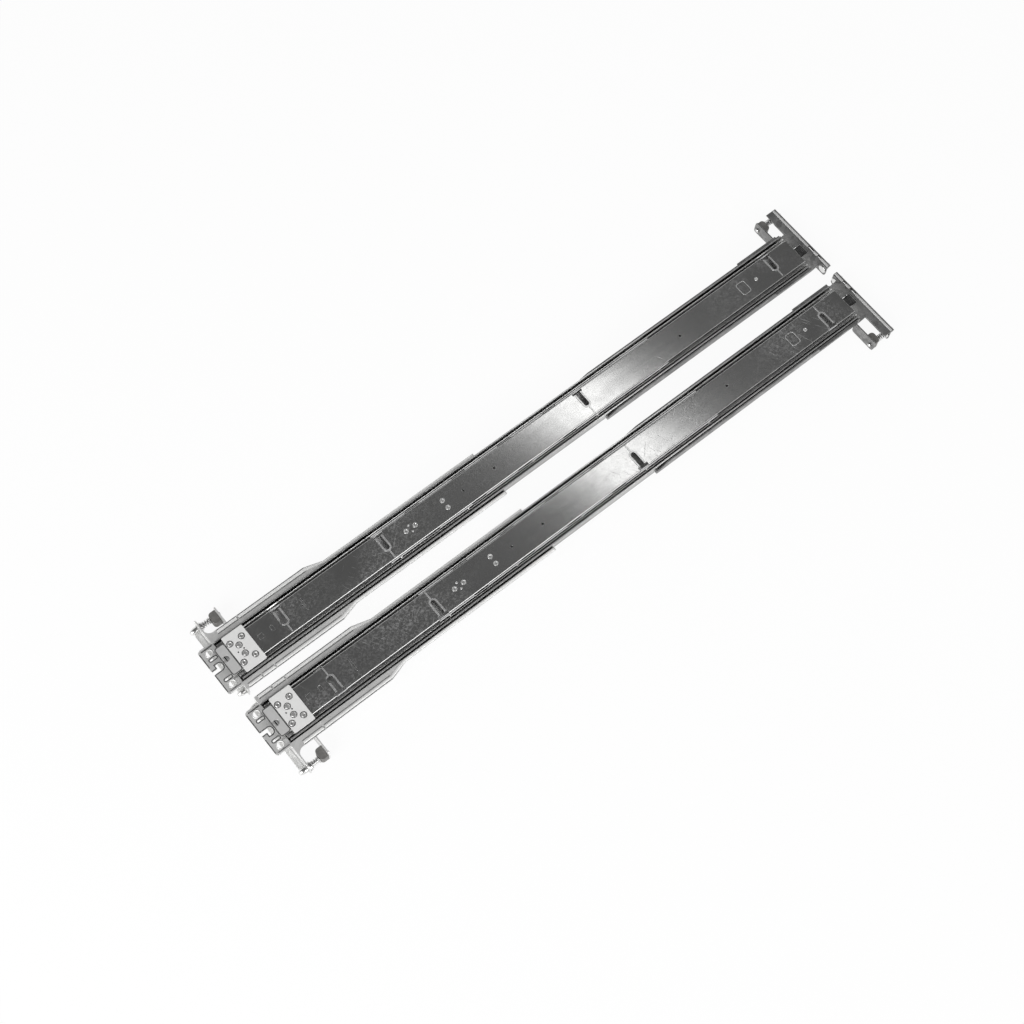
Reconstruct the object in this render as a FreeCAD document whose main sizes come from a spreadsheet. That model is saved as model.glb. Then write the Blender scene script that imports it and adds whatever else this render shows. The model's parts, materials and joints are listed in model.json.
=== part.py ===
import FreeCAD, Part
import Sketcher

import math
import os

# Pair of sliding server rails with rack brackets, in millimetres.
# The right-hand rail is modelled and the left-hand rail is its mirror image.
# X runs along the rails to the rack's front, Z up through the server side.
# Lengths along a rail are counted from the rear flange, widths from the rail's centre line.

SIZES = {
    # the pair and the rack
    "mounting_depth": 737.0,      # between the outer faces of the two flanges
    "rail_pitch": 74.6,           # between the centre lines of the two rails
    "stud_spacing": 76.2,         # between the two studs of a flange
    "stud_offset": 10.5,          # from the slide's centre line to the middle of the studs
    "stud_level": 7.5,            # stud axis above the ground
    "slide_level": 14.5,          # back of the outer member above the ground
    # slide members
    "slide_thickness": 11.0,      # from the back to the server face
    "rear_inset": 2.5,            # from the rear flange's face to the outer member
    "front_inset": 19.0,          # from the front flange's face to the members
    "inner_overhang": 3.0,        # of the inner member past the rear flange's face
    "outer_sheet": 1.3,
    "middle_sheet": 1.2,
    "inner_sheet": 1.2,
    "outer_height": 10.2,         # of the outer member's walls
    "middle_level": 2.2,          # underside of the intermediate web above the back
    "skirt_level": 4.6,           # lower edge of the inner member's walls above the back
    "member_bend": 1.5,           # outer radius of the inner member's bends
    # balls and cages
    "ball_radius": 1.5,
    "race_gap": 0.05,             # between a ball and its race
    "outer_ball_line": 20.4,      # outer ball centres from the centre line
    "inner_ball_line": 17.0,      # inner ball centres from the centre line
    "inner_ball_level": 7.5,      # inner ball centres above the back
    "cage_sheet": 0.5,
    "cage_gap": 0.2,              # between a cage and the web it lies on
    "cage_start": 180.0,
    "cage_length": 350.0,
    "cage_margin": 12.0,          # from a cage's end to its first ball
    "cage_strip": 13.0,           # inner edge of the cage's side strips
    "cage_bridge": 8.0,           # length of the web that joins the strips at each end
    "outer_cage_height": 3.1,
    "inner_cage_height": 6.1,
    "cage_rim": 0.55,             # inward width of the inner cage's rim
    "first_window": 230.0,
    "window_pitch": 57.0,         # between the openings along the inner cage's rim
    "window_length": 17.0,
    # mounting slots of the inner member
    "slot_half_width": 2.7,
    "mouth_half_width": 5.9,      # of a slot's mouth along the member's edge
    "slot_end": -1.5,             # centre of a slot's round end
    "slot_lip": 12.2,             # where the mouth starts, from the centre line
    "mouth_depth": 1.8,           # of a mouth below the server face
    "rim_width": 1.7,             # of the raised rim round a slot
    "rim_rise": 0.3,
    "first_slot": 65.7,
    "first_slot_hook": 2.1,       # sideways turn of the first slot's end
    "second_slot": 186.0,
    "third_slot": 434.6,
    "fourth_slot": 687.9,
    # bracket sheet, flanges and ears
    "bracket_sheet": 1.4,
    "flange_margin": 4.8,         # of a flange past its stud's axis
    "corner_radius": 3.0,
    "web_fillet": 6.5,            # between a bracket's edge and its flange
    "ear_distance": 22.0,         # from a flange's face to the ear
    "ear_foot": 1.0,              # lower edge of an ear above the ground
    # rear bracket
    "rear_bracket_length": 313.0,
    "end_bracket_length": 34.0,   # of the rear end bracket, which carries the flange
    "bracket_gap": 0.4,           # between the rear bracket and the outer member's back
    "rear_half_width": 25.0,      # outside of the rear bracket's walls
    "strip_level": 20.0,          # top of the side strips above the ground
    "tray_half_width": 33.0,
    "tray_length": 112.0,
    "taper_length": 19.0,
    "arm_half_width": 27.0,
    "foot_lip": 6.0,              # of the lip along the rear flange's lower edge
    "lip_corner": 4.0,
    "guide_slot_start": 40.0,
    "guide_slot_length": 232.0,
    "guide_slot_line": 12.0,      # slot centres from the centre line
    "guide_slot_half_width": 2.6,
    "shoulder_gap": 0.2,
    "shoulder_rivet_place": 45.0,
    "shoulder_rivet_pitch": 42.0,
    "shoulder_head_radius": 4.5,
    # tab for the cable arm
    "tab_reach": 15.8,
    "tab_half_width": 25.7,
    "tab_level": 18.0,            # top of the tab above the ground
    "tab_wall": 1.8,              # height of the turned-up ends
    "tab_corner": 2.5,
    "tab_hole_radius": 3.3,
    "tab_hole_line": 18.5,
    "tab_slot_line": 12.0,
    "tab_slot_length": 7.5,
    "tab_slot_half_width": 1.0,
    # front bracket
    "front_bracket_length": 293.0,
    "front_half_width": 24.75,    # outside of the front bracket's walls
    "front_wall_level": 22.8,     # top of the arms above the ground
    "flat_level": 16.4,           # top of the flat in front of the slide
    "ramp_start": 17.0,           # lengths behind the front flange's face
    "ramp_end": 9.0,
    "lip_reach": 4.0,
    "window_front": 3.8,
    "window_rear": 15.5,
    "window_half_width": 6.5,
    "lip_slot_reach": 2.2,        # of the two slots in the lip past the flange's face
    "wide_slot_line": -5.6,
    "wide_slot_half_length": 4.1,
    "narrow_slot_line": -17.9,
    "narrow_slot_half_length": 2.3,
    "front_rivet_pitch": 90.0,
    "front_rivet_line": 10.0,
    # studs
    "stud_radius": 3.4,
    "stud_step": 0.3,             # by which a stud is thicker inside its flange
    "stud_reach": 9.0,
    "stud_nose": 1.2,
    "neck_radius": 2.0,
    "collar_radius": 4.7,
    "collar_length": 2.5,
    "stop_gap": 0.3,              # between a collar and its flange
    "running_gap": 0.1,
    "tail_length": 2.0,           # of the sprung stud behind the ear at rest
    "guide_length": 8.0,
    "guide_inner_width": 8.2,     # of the D-shaped guide towards the slide
    "guide_outer_width": 4.2,
    "guide_half_height": 5.5,
    "guide_round": 3.5,
    "coil_radius": 3.0,
    "coil_wire_radius": 0.4,
    "coil_turns": 3.0,
    # front latch
    "pivot_distance": 24.0,       # latch pivot behind the front flange's face
    "pivot_level": 9.6,
    "pivot_radius": 1.5,
    "hub_radius": 3.0,
    "hub_half_width": 8.0,
    "lug_gap": 0.3,
    "lug_radius": 2.6,
    "latch_sheet": 1.6,
    "latch_tail": 11.5,
    "pad_half_width": 5.8,
    "pad_level": 15.0,
    "pad_gap": 0.6,
    "hook_line": -11.7,           # centre of the hook from the centre line
    "hook_half_width": 2.4,
    "hook_level": 6.0,
    "hook_height": 3.0,
    "hook_reach": 6.5,
    "hook_barb": 2.6,
    "post_gap": 2.8,              # room for the rack's sheet behind the barb
    "hook_slot_low": 2.0,
    "hook_slot_high": 12.2,
    "leaf_sheet": 0.4,
    "leaf_span": 8.6,
    "leaf_half_width": 3.0,
    # rear link plate and its tongue
    "link_start": 8.7,
    "link_length": 23.2,
    "link_half_width": 20.6,
    "link_sheet": 1.2,
    "tongue_half_width": 16.0,
    "tongue_sheet": 1.0,
    "tongue_gap": 0.4,            # between the tongue and the link plate
    # travel stop and slide lock
    "stop_place": 215.7,
    "stop_half_size": 10.0,
    "stop_sheet": 1.0,
    "stop_depth": 4.8,
    "stop_rivet_reach": 5.4,
    "stop_hole_reach": 3.6,       # of the two small holes over the travel stop
    "stop_hole_radius": 1.2,
    "lock_place": 257.3,
    "lock_line": 4.0,
    "lock_post_line": -5.0,
    "lock_sheet": 1.5,
    "lock_gap": 0.3,
    "lock_hub_radius": 4.0,
    "lock_reach": 40.0,
    "rivet_head_radius": 2.6,
    "rivet_head_height": 0.6,
    "rivet_dimple_radius": 1.5,
    "rivet_radius": 1.5,
}

BALLS_IN_A_ROW = 5
RIM_WINDOWS = 4

doc = FreeCAD.newDocument("server_rail_pair")
sheet = doc.addObject("Spreadsheet::Sheet", "Sizes")
for row, (word, number) in enumerate(SIZES.items(), start=1):
    sheet.set(f"A{row}", word)
    sheet.set(f"B{row}", str(number))
    sheet.setAlias(f"B{row}", word)
doc.recompute()


# A length and its formula

class Size:
    """A number together with the sheet formula that gives it."""

    def __init__(self, value, formula):
        self.value = value
        self.formula = formula

    def __add__(self, other):
        other = as_size(other)
        return Size(self.value + other.value, f"({self.formula} + {other.formula})")

    def __sub__(self, other):
        other = as_size(other)
        return Size(self.value - other.value, f"({self.formula} - {other.formula})")

    def __mul__(self, other):
        other = as_size(other)
        return Size(self.value * other.value, f"({self.formula} * {other.formula})")

    def __truediv__(self, other):
        other = as_size(other)
        return Size(self.value / other.value, f"({self.formula} / {other.formula})")

    def __radd__(self, other):
        return as_size(other) + self

    def __rsub__(self, other):
        return as_size(other) - self

    def __rmul__(self, other):
        return as_size(other) * self

    def __neg__(self):
        return as_size(0) - self


def as_size(number):
    """A plain number as a size, and a size as it is."""
    if isinstance(number, Size):
        return number
    return Size(float(number), repr(number))


def size(word):
    """The size that the sheet holds under this word."""
    return Size(float(sheet.get(word)), f"Sizes.{word}")


def side_of_triangle(long_side, short_side):
    """The third side of a right-angled triangle, where a circle meets a line."""
    square = long_side * long_side - short_side * short_side
    return Size(math.sqrt(square.value), f"sqrt({square.formula})")


def bind(thing, path, length):
    """Ties one property of an object to a size."""
    thing.setExpression(path, as_size(length).formula)


# Sketches and features

def flank(start, end, radius, turn):
    """The arc between two points: turn is 1 to the left and -1 to the right."""
    chord = end - start
    left = FreeCAD.Vector(-chord.y, chord.x, 0).normalize()
    height = math.sqrt(max(radius**2 - (chord.Length / 2) ** 2, 0))
    centre = (start + end) / 2 + left * (height * turn)
    circle = Part.Circle(centre, FreeCAD.Vector(0, 0, 1), radius)
    first, last = (start, end) if turn > 0 else (end, start)
    angles = [math.atan2(p.y - centre.y, p.x - centre.x) for p in (first, last)]
    return Part.ArcOfCircle(circle, angles[0], angles[1])


def pin_down(sketch, piece_number, corner, place):
    """Holds a sketch point at its distances from the sketch's origin."""
    for kind, distance in zip(("DistanceX", "DistanceY"), place):
        distance = as_size(distance)
        rule = Sketcher.Constraint(kind, -1, 1, piece_number, corner, distance.value)
        number = sketch.addConstraint(rule)
        bind(sketch, f"Constraints[{number}]", distance)


def hold_radius(sketch, piece_number, radius):
    """Holds the radius of a circle or an arc."""
    radius = as_size(radius)
    number = sketch.addConstraint(Sketcher.Constraint("Radius", piece_number, radius.value))
    bind(sketch, f"Constraints[{number}]", radius)


def draw_circle(sketch, circle):
    """A circle given as (a, b, radius)."""
    a, b, radius = [as_size(number) for number in circle]
    centre = FreeCAD.Vector(a.value, b.value, 0)
    shape = Part.Circle(centre, FreeCAD.Vector(0, 0, 1), radius.value)
    number = sketch.addGeometry(shape, False)
    pin_down(sketch, number, 3, (a, b))
    hold_radius(sketch, number, radius)


def draw_outline(sketch, path):
    """A closed outline: (a, b) is a straight step, (a, b, radius, turn) an arc to that point."""
    points = [FreeCAD.Vector(as_size(step[0]).value, as_size(step[1]).value, 0) for step in path]
    ends = []
    for number, start in enumerate(points):
        following = (number + 1) % len(path)
        end = points[following]
        bend = path[following][2:]
        if bend:
            radius, turn = bend
            piece = sketch.addGeometry(flank(start, end, as_size(radius).value, turn), False)
            hold_radius(sketch, piece, radius)
            ends.append((piece, 1, 2) if turn > 0 else (piece, 2, 1))
        else:
            piece = sketch.addGeometry(Part.LineSegment(start, end), False)
            ends.append((piece, 1, 2))
    for number, (piece, first, last) in enumerate(ends):
        next_piece, next_first, _ = ends[(number + 1) % len(ends)]
        rule = Sketcher.Constraint("Coincident", piece, last, next_piece, next_first)
        sketch.addConstraint(rule)
        pin_down(sketch, piece, first, path[number][:2])


def new_sketch(body, role, distance, shapes):
    """A sketch on one of the body's own planes, moved along the plane's normal."""
    name = f"{body.Label}_sketch_{len(body.Group)}"
    sketch = body.newObject("Sketcher::SketchObject", name)
    plane = [item for item in body.Origin.OriginFeatures if item.Role == role][0]
    sketch.AttachmentSupport = [(plane, "")]
    sketch.MapMode = "FlatFace"
    bind(sketch, "AttachmentOffset.Base.z", distance)
    for shape in shapes:
        if isinstance(shape, tuple):
            draw_circle(sketch, shape)
        else:
            draw_outline(sketch, shape)
    return sketch


def extrude(body, kind, sketch, length):
    """A pad or a pocket of the sketch."""
    feature = body.newObject(f"PartDesign::{kind}", f"{body.Label}_{kind}_{len(body.Group)}")
    feature.Profile = sketch
    bind(feature, "Length", length)
    return feature


def add(body, axis, start, end, *shapes):
    """Adds the shapes' outlines as material between two distances along an axis."""
    if axis == "X":
        sketch = new_sketch(body, "YZ_Plane", start, shapes)
    elif axis == "Y":
        sketch = new_sketch(body, "XZ_Plane", -end, shapes)
    else:
        sketch = new_sketch(body, "XY_Plane", start, shapes)
    return extrude(body, "Pad", sketch, end - start)


def cut(body, axis, start, end, *shapes):
    """Cuts the shapes' outlines away between two distances along an axis."""
    if axis == "X":
        sketch = new_sketch(body, "YZ_Plane", end, shapes)
    elif axis == "Y":
        sketch = new_sketch(body, "XZ_Plane", -start, shapes)
    else:
        sketch = new_sketch(body, "XY_Plane", end, shapes)
    return extrude(body, "Pocket", sketch, end - start)


def turn(body, path):
    """A turned piece: distance along the body's X axis, then radius."""
    sketch = new_sketch(body, "XY_Plane", as_size(0), [path])
    feature = body.newObject("PartDesign::Revolution", f"{body.Label}_turned")
    feature.Profile = sketch
    feature.ReferenceAxis = (sketch, ["H_Axis"])
    feature.Angle = 360
    return feature


def box(a_low, b_low, a_high, b_high):
    """The outline of a rectangle."""
    return [(a_low, b_low), (a_high, b_low), (a_high, b_high), (a_low, b_high)]


def round_box(a_low, b_low, a_high, b_high, radius):
    """The outline of a rectangle with round corners."""
    return [
        (a_low + radius, b_low, radius, 1),
        (a_high - radius, b_low),
        (a_high, b_low + radius, radius, 1),
        (a_high, b_high - radius),
        (a_high - radius, b_high, radius, 1),
        (a_low + radius, b_high),
        (a_low, b_high - radius, radius, 1),
        (a_low, b_low + radius),
    ]


def round_ended(a_low, a_high, b, half_width):
    """The outline of a slot with round ends, along the sketch's first axis."""
    return [
        (a_low + half_width, b - half_width, half_width, 1),
        (a_high - half_width, b - half_width),
        (a_high, b, half_width, 1),
        (a_high - half_width, b + half_width, half_width, 1),
        (a_low + half_width, b + half_width),
        (a_low, b, half_width, 1),
    ]


def both_sides(half):
    """The full outline of a section that is alike on both sides of its centre line."""
    full = list(half)
    for number in range(len(half) - 1, -1, -1):
        a, b = half[number][:2]
        bend = half[number + 1][2:] if number + 1 < len(half) else ()
        full.append((-as_size(a), b) + tuple(bend))
    return full


# Places that the pieces share

ROOT_HALF = Size(math.sqrt(0.5), "sqrt(0.5)")

depth = size("mounting_depth")
rail_line = size("rail_pitch") / 2
rear_face = (size("tab_reach") - depth - size("stud_reach")) / 2
slide_back = size("slide_level")
server_face = slide_back + size("slide_thickness")
member_front = depth - size("front_inset")

race_radius = size("ball_radius") + size("race_gap")
outer_ball_line = size("outer_ball_line")
outer_ball_level = slide_back + size("outer_sheet") + race_radius
inner_ball_line = size("inner_ball_line")
inner_ball_level = slide_back + size("inner_ball_level")
outer_web_top = slide_back + size("outer_sheet")
middle_web = slide_back + size("middle_level")
inner_wall = inner_ball_line - race_radius * ROOT_HALF
inner_web = server_face - size("inner_sheet")

sheet_metal = size("bracket_sheet")
stud_level = size("stud_level")
sprung_line = size("stud_offset") + size("stud_spacing") / 2
fixed_line = size("stud_offset") - size("stud_spacing") / 2
flange_top = sprung_line + size("flange_margin")
flange_bottom = fixed_line - size("flange_margin")
guided_radius = size("stud_radius") + size("stud_step")
stud_hole = guided_radius + size("running_gap") / 2
shank_bore = size("neck_radius") + size("running_gap") / 2
stud_head_radius = guided_radius + 0.8
ear_back = size("ear_distance") + sheet_metal
rivet_radius = size("rivet_radius")

right_hand = []


def place(thing, label, along=0, across=0, up=0):
    """Gives a piece of the right-hand rail its name and its place."""
    thing.Label = f"right_{label}"
    bind(thing, "Placement.Base.x", rear_face + along)
    bind(thing, "Placement.Base.y", rail_line + across)
    bind(thing, "Placement.Base.z", as_size(up))
    right_hand.append(thing)
    return thing


def rail_body(label, along=0, across=0, up=0):
    """A body of the right-hand rail."""
    body = doc.addObject("PartDesign::Body", f"right_{label}")
    return place(body, label, along, across, up)


# Outer member: web, quarter-round ball races in the lower corners, straight walls

def outer_member():
    body = rail_body("outer_member")
    metal = size("outer_sheet")
    outside = race_radius + metal
    inner_side = outer_ball_line + race_radius * ROOT_HALF
    outer_side = inner_side + metal
    bend_rise = side_of_triangle(outside, outer_side - outer_ball_line)
    top = slide_back + size("outer_height")
    half = [
        (outer_ball_line, slide_back),
        (outer_ball_line + outside, outer_ball_level, outside, 1),
        (outer_side, outer_ball_level + bend_rise, outside, 1),
        (outer_side, top),
        (inner_side, top),
        (inner_side, outer_ball_level + race_radius * ROOT_HALF),
        (outer_ball_line + race_radius, outer_ball_level, race_radius, -1),
        (outer_ball_line, outer_web_top, race_radius, -1),
    ]
    add(body, "X", size("rear_inset"), member_front, both_sides(half))
    rivets = [(a, b, rivet_radius) for a, b in shoulder_places() + front_rivet_places()]
    cut(body, "Z", slide_back - 1, outer_web_top + 1, *rivets)


def shoulder_places():
    """Centres of the four shoulder rivets on which the rear bracket slides."""
    first = size("shoulder_rivet_place")
    line = size("guide_slot_line")
    return [
        (along, across)
        for along in (first, first + size("shoulder_rivet_pitch"))
        for across in (line, -line)
    ]


def front_rivet_places():
    """Centres of the six rivets that hold the front bracket."""
    pitch = size("front_rivet_pitch")
    last = member_front - 48
    line = size("front_rivet_line")
    return [
        (last - pitch * number, across)
        for number in range(3)
        for across in (line, -line)
    ]


# Intermediate member: each wall has a groove for the outer balls and a race for the inner ones

def intermediate_member():
    body = rail_body("intermediate_member")
    metal = size("middle_sheet")
    outside = race_radius + metal
    drop = outer_ball_level - middle_web
    lift = outer_ball_level - middle_web - metal
    race_reach = race_radius * ROOT_HALF
    groove_reach = outside * ROOT_HALF
    half = [
        (outer_ball_line - side_of_triangle(race_radius, drop), middle_web),
        (outer_ball_line - race_reach, outer_ball_level + race_reach, race_radius, -1),
        (inner_ball_line + groove_reach, inner_ball_level - groove_reach),
        (inner_ball_line + groove_reach, inner_ball_level + groove_reach, outside, 1),
        (inner_ball_line + race_reach, inner_ball_level + race_reach),
        (inner_ball_line + race_reach, inner_ball_level - race_reach, race_radius, -1),
        (outer_ball_line - groove_reach, outer_ball_level + groove_reach),
        (
            outer_ball_line - side_of_triangle(outside, lift),
            middle_web + metal,
            outside,
            1,
        ),
    ]
    add(body, "X", size("rear_inset"), member_front, both_sides(half))


# Inner member: web on the server side, a groove along each wall, four open mounting slots

def inner_member():
    body = rail_body("inner_member")
    metal = size("inner_sheet")
    bend = size("member_bend")
    inside = inner_wall - metal
    outside = race_radius + metal
    race_reach = race_radius * ROOT_HALF
    groove_reach = side_of_triangle(outside, inner_ball_line - inside)
    skirt = slide_back + size("skirt_level")
    half = [
        (inside, inner_web),
        (inside, inner_ball_level + groove_reach),
        (inside, inner_ball_level - groove_reach, outside, 1),
        (inside, skirt),
        (inner_wall, skirt),
        (inner_wall, inner_ball_level - race_reach),
        (inner_wall, inner_ball_level + race_reach, race_radius, -1),
        (inner_wall, server_face - bend),
        (inner_wall - bend, server_face, bend, 1),
    ]
    add(body, "X", -size("inner_overhang"), member_front, both_sides(half))
    for word in ("first_slot", "second_slot", "third_slot", "fourth_slot"):
        slot_rim(body, size(word))
    for word in ("first_slot", "second_slot", "third_slot", "fourth_slot"):
        mounting_slot(body, size(word))
    inner_marks(body)
    holes = [
        (a, b, rivet_radius)
        for a, b in link_rivet_places() + stop_rivet_places() + lock_pin_places()
    ]
    cut(body, "Z", inner_web - 1, server_face + 1, *holes)


def slot_rim(body, along):
    """The raised rim round a mounting slot and the line that runs on from it."""
    inner = size("slot_half_width") - 0.2
    outer = size("slot_half_width") + size("rim_width")
    end = size("slot_end")
    top = size("slot_lip") + 1
    edge = -inner_wall + size("member_bend")
    rim = [
        (along - outer, top),
        (along - outer, end),
        (along, end - outer, outer, 1),
        (along + outer, end, outer, 1),
        (along + outer, top),
        (along + inner, top),
        (along + inner, end),
        (along, end - inner, inner, -1),
        (along - inner, end, inner, -1),
        (along - inner, top),
    ]
    line = box(along - 0.7, edge, along + 0.7, end - outer + 0.4)
    rise = server_face + size("rim_rise")
    add(body, "Z", server_face, rise, rim)
    add(body, "Z", server_face, rise, line)


def mounting_slot(body, along):
    """A mounting slot, open towards the upper edge of the member."""
    width = size("slot_half_width")
    mouth = size("mouth_half_width")
    end = size("slot_end")
    lip = size("slot_lip")
    outline = [
        (along - width, lip + 0.5),
        (along - width, end),
        (along, end - width, width, 1),
        (along + width, end, width, 1),
        (along + width, lip + 0.5),
    ]
    cut(body, "Z", inner_web - 0.5, server_face + 1, outline)
    opening = box(along - mouth, lip, along + mouth, inner_wall + 1)
    cut(body, "Z", server_face - size("mouth_depth"), server_face + 1, opening)


def inner_marks(body):
    """The punched marks, small holes and raised tabs along the server face."""
    slot = size("first_slot")
    hook = slot - size("first_slot_hook")
    through = (inner_web - 1, server_face + 1)
    cut(body, "Z", *through, (hook, size("slot_end") + 0.5, size("slot_half_width")))
    shallow = (server_face - 0.3, server_face + 1)
    square = box(size("link_start") + 28.4, -2.6, size("link_start") + 33.6, 2.6)
    cut(body, "Z", *shallow, square)
    cut(body, "Z", *shallow, box(slot - 14.6, -2.8, slot - 11.4, 2.8))
    cut(body, "Z", *through, round_ended(slot + 21.6, slot + 23.2, as_size(0.7), as_size(0.4)))
    add(body, "Z", server_face, server_face + 0.8, box(slot + 23.3, -6.2, slot + 24.9, 7.7))
    places = [(slot + 214, 0), (slot + 252.6, 0), (slot + 492.1, -1.5)]
    small = size("stop_hole_radius")
    cut(body, "Z", *through, *[(a, as_size(b), small) for a, b in places + stop_hole_places()])
    cut(body, "Z", *shallow, (slot + 597.5, as_size(0), as_size(1.5)))
    hook_end = size("tongue_half_width") * 0.3
    notch = [
        (-size("inner_overhang") - 1, -1.3),
        (as_size(1.5), -1.3),
        (as_size(4.5), as_size(1.7), as_size(3.0), 1),
        (as_size(1.5), hook_end, as_size(3.1), 1),
        (as_size(-1.0), hook_end),
        (as_size(-1.0), 1.6),
        (-size("inner_overhang") - 1, 1.6),
    ]
    cut(body, "Z", *through, notch)


def link_rivet_places():
    """Centres of the six rivets of the rear link plate."""
    start = size("link_start")
    corners = [
        (start + along, across)
        for along in (3.6, 16.7)
        for across in (-11.2, 11.2)
    ]
    return corners + [(start + 9.8, 5.3), (start + 9.8, -4.6)]


def stop_rivet_places():
    """Centres of the two rivets of the travel stop."""
    middle = size("stop_place")
    reach = size("stop_rivet_reach")
    return [(middle + reach, as_size(0)), (middle - reach, as_size(0))]


def stop_hole_places():
    """Centres of the two small holes in the web over the travel stop."""
    reach = size("stop_hole_reach")
    return [(size("stop_place"), reach), (size("stop_place"), -reach)]


def lock_pin_places():
    """Centres of the lock lever's pivot rivet and of its spring's post."""
    return [
        (size("lock_place"), size("lock_line")),
        (size("lock_place"), size("lock_post_line")),
    ]


# Ball cages: thin strips over the webs, with legs that hold the balls

def ball_places():
    """Distances of the balls of one row along the rail."""
    first = size("cage_start") + size("cage_margin")
    span = size("cage_length") - size("cage_margin") * 2
    return [first + span * (number / (BALLS_IN_A_ROW - 1)) for number in range(BALLS_IN_A_ROW)]


def cage(label, web, leg_line, height, line, level, rim):
    """A cage with its web at one level and legs at the given line from the centre."""
    body = rail_body(label)
    metal = size("cage_sheet")
    start = size("cage_start")
    end = start + size("cage_length")
    strip = size("cage_strip")
    inner = leg_line - metal / 2
    outer = leg_line + metal / 2
    top = web + height
    section = [(strip, web), (outer, web), (outer, top)]
    if rim is None:
        section += [(inner, top)]
    else:
        section += [(inner - rim, top), (inner - rim, top - metal), (inner, top - metal)]
    section += [(inner, web + metal), (strip, web + metal)]
    other = [(-step[0], step[1]) for step in reversed(section)]
    add(body, "X", start, end, section)
    add(body, "X", start, end, other)
    bridge = size("cage_bridge")
    for low in (start, end - bridge):
        add(body, "Z", web, web + metal, box(low, -strip - 1, low + bridge, strip + 1))
    holes = [(along, level, race_radius) for along in ball_places()]
    reach = race_radius - 0.25
    cut(body, "Y", line - reach, outer + 1, *holes)
    cut(body, "Y", -outer - 1, reach - line, *holes)
    return body


def outer_cage():
    web = outer_web_top + size("cage_gap")
    height = size("outer_cage_height")
    cage("outer_cage", web, outer_ball_line, height, outer_ball_line, outer_ball_level, None)


def inner_cage():
    web = middle_web + size("middle_sheet") + size("cage_gap")
    height = size("inner_cage_height")
    line = inner_ball_line
    rim = size("cage_rim")
    body = cage("inner_cage", web, line, height, line, inner_ball_level, rim)
    top = web + height
    half = size("window_length") / 2
    for side in (1, -1):
        near = line - size("cage_sheet") / 2 - rim - 1
        far = line + size("cage_sheet") / 2 + 1
        low, high = (near, far) if side > 0 else (-far, -near)
        windows = [
            box(middle - half, low, middle + half, high)
            for middle in window_places()
        ]
        cut(body, "Z", top - size("cage_sheet") - 0.2, top + 1, *windows)


def window_places():
    """Middles of the openings along the inner cage's rim."""
    first = size("first_window")
    return [first + size("window_pitch") * number for number in range(RIM_WINDOWS)]


def balls(label, line, level):
    """Two rows of balls, one along each edge."""
    spheres = []
    for side in (1, -1):
        for along in ball_places():
            ball = doc.addObject("Part::Sphere", f"{label}_ball")
            bind(ball, "Radius", size("ball_radius"))
            bind(ball, "Placement.Base.x", along)
            bind(ball, "Placement.Base.y", line * side)
            bind(ball, "Placement.Base.z", level)
            spheres.append(ball)
    group = doc.addObject("Part::Compound", f"right_{label}")
    group.Links = spheres
    place(group, label)


# Rear bracket: a folded arm that slides behind the outer member, and its end bracket

def hat_section(body, start, end):
    """The web behind the slide and the two walls along its edges."""
    wall = size("rear_half_width")
    bottom = slide_back - size("bracket_gap") - sheet_metal
    add(body, "Z", bottom, bottom + sheet_metal, box(start, -wall, end, wall))
    for low in (-wall, wall - sheet_metal):
        side_wall = box(start, low, end, low + sheet_metal)
        add(body, "Z", bottom, size("strip_level"), side_wall)


def rear_bracket():
    body = rail_body("rear_bracket")
    start = size("end_bracket_length")
    end = size("rear_bracket_length")
    strip = size("strip_level")
    hat_section(body, start, end)
    for side, tray in ((1, size("tray_half_width")), (-1, -flange_bottom)):
        add(body, "Z", strip - sheet_metal, strip, arm_strip(start, end, tray, side))
    web_top = slide_back - size("bracket_gap")
    first = size("guide_slot_start")
    slots = [
        round_ended(
            first,
            first + size("guide_slot_length"),
            size("guide_slot_line") * side,
            size("guide_slot_half_width"),
        )
        for side in (1, -1)
    ]
    cut(body, "Z", web_top - sheet_metal - 1, web_top + 1, *slots)


def arm_strip(start, end, tray, side):
    """A side strip of the arm, wide beside the tray and narrow after its taper."""
    wall = size("rear_half_width") - sheet_metal
    narrow = size("arm_half_width")
    outline = [
        (start, wall),
        (end, wall),
        (end, narrow),
        (size("tray_length") + size("taper_length"), narrow),
        (size("tray_length"), tray),
        (start, tray),
    ]
    return [(a, b * side) for a, b in outline]


def rear_flange():
    """The end bracket: flange, cable-arm tab, foot lip, ear and a stretch of the arm's section."""
    body = rail_body("rear_flange")
    joint = size("end_bracket_length")
    wall = size("rear_half_width")
    strip = size("strip_level")
    tab_top = size("tab_level")
    tab = size("tab_half_width")
    hat_section(body, as_size(0), joint)
    add(body, "X", 0, sheet_metal, rear_flange_outline(strip, tab_top, tab))
    add(body, "Z", strip - sheet_metal, strip, upper_strip(wall, joint))
    lower_strip = box(as_size(0), flange_bottom, joint, sheet_metal - wall)
    add(body, "Z", strip - sheet_metal, strip, lower_strip)
    cable_arm_tab(body, tab_top, tab)
    corner = size("lip_corner")
    lip = [
        (sheet_metal, flange_bottom + corner),
        (sheet_metal, flange_top - corner),
        (corner - size("foot_lip"), flange_top - corner),
        (-size("foot_lip"), flange_top - corner * 2, corner, 1),
        (-size("foot_lip"), flange_bottom + corner * 2),
        (corner - size("foot_lip"), flange_bottom + corner, corner, 1),
    ]
    add(body, "Z", 0, sheet_metal, lip)
    ear(body, size("ear_distance"), wall - sheet_metal, strip)
    rear_flange_holes(body, tab_top)


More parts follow.
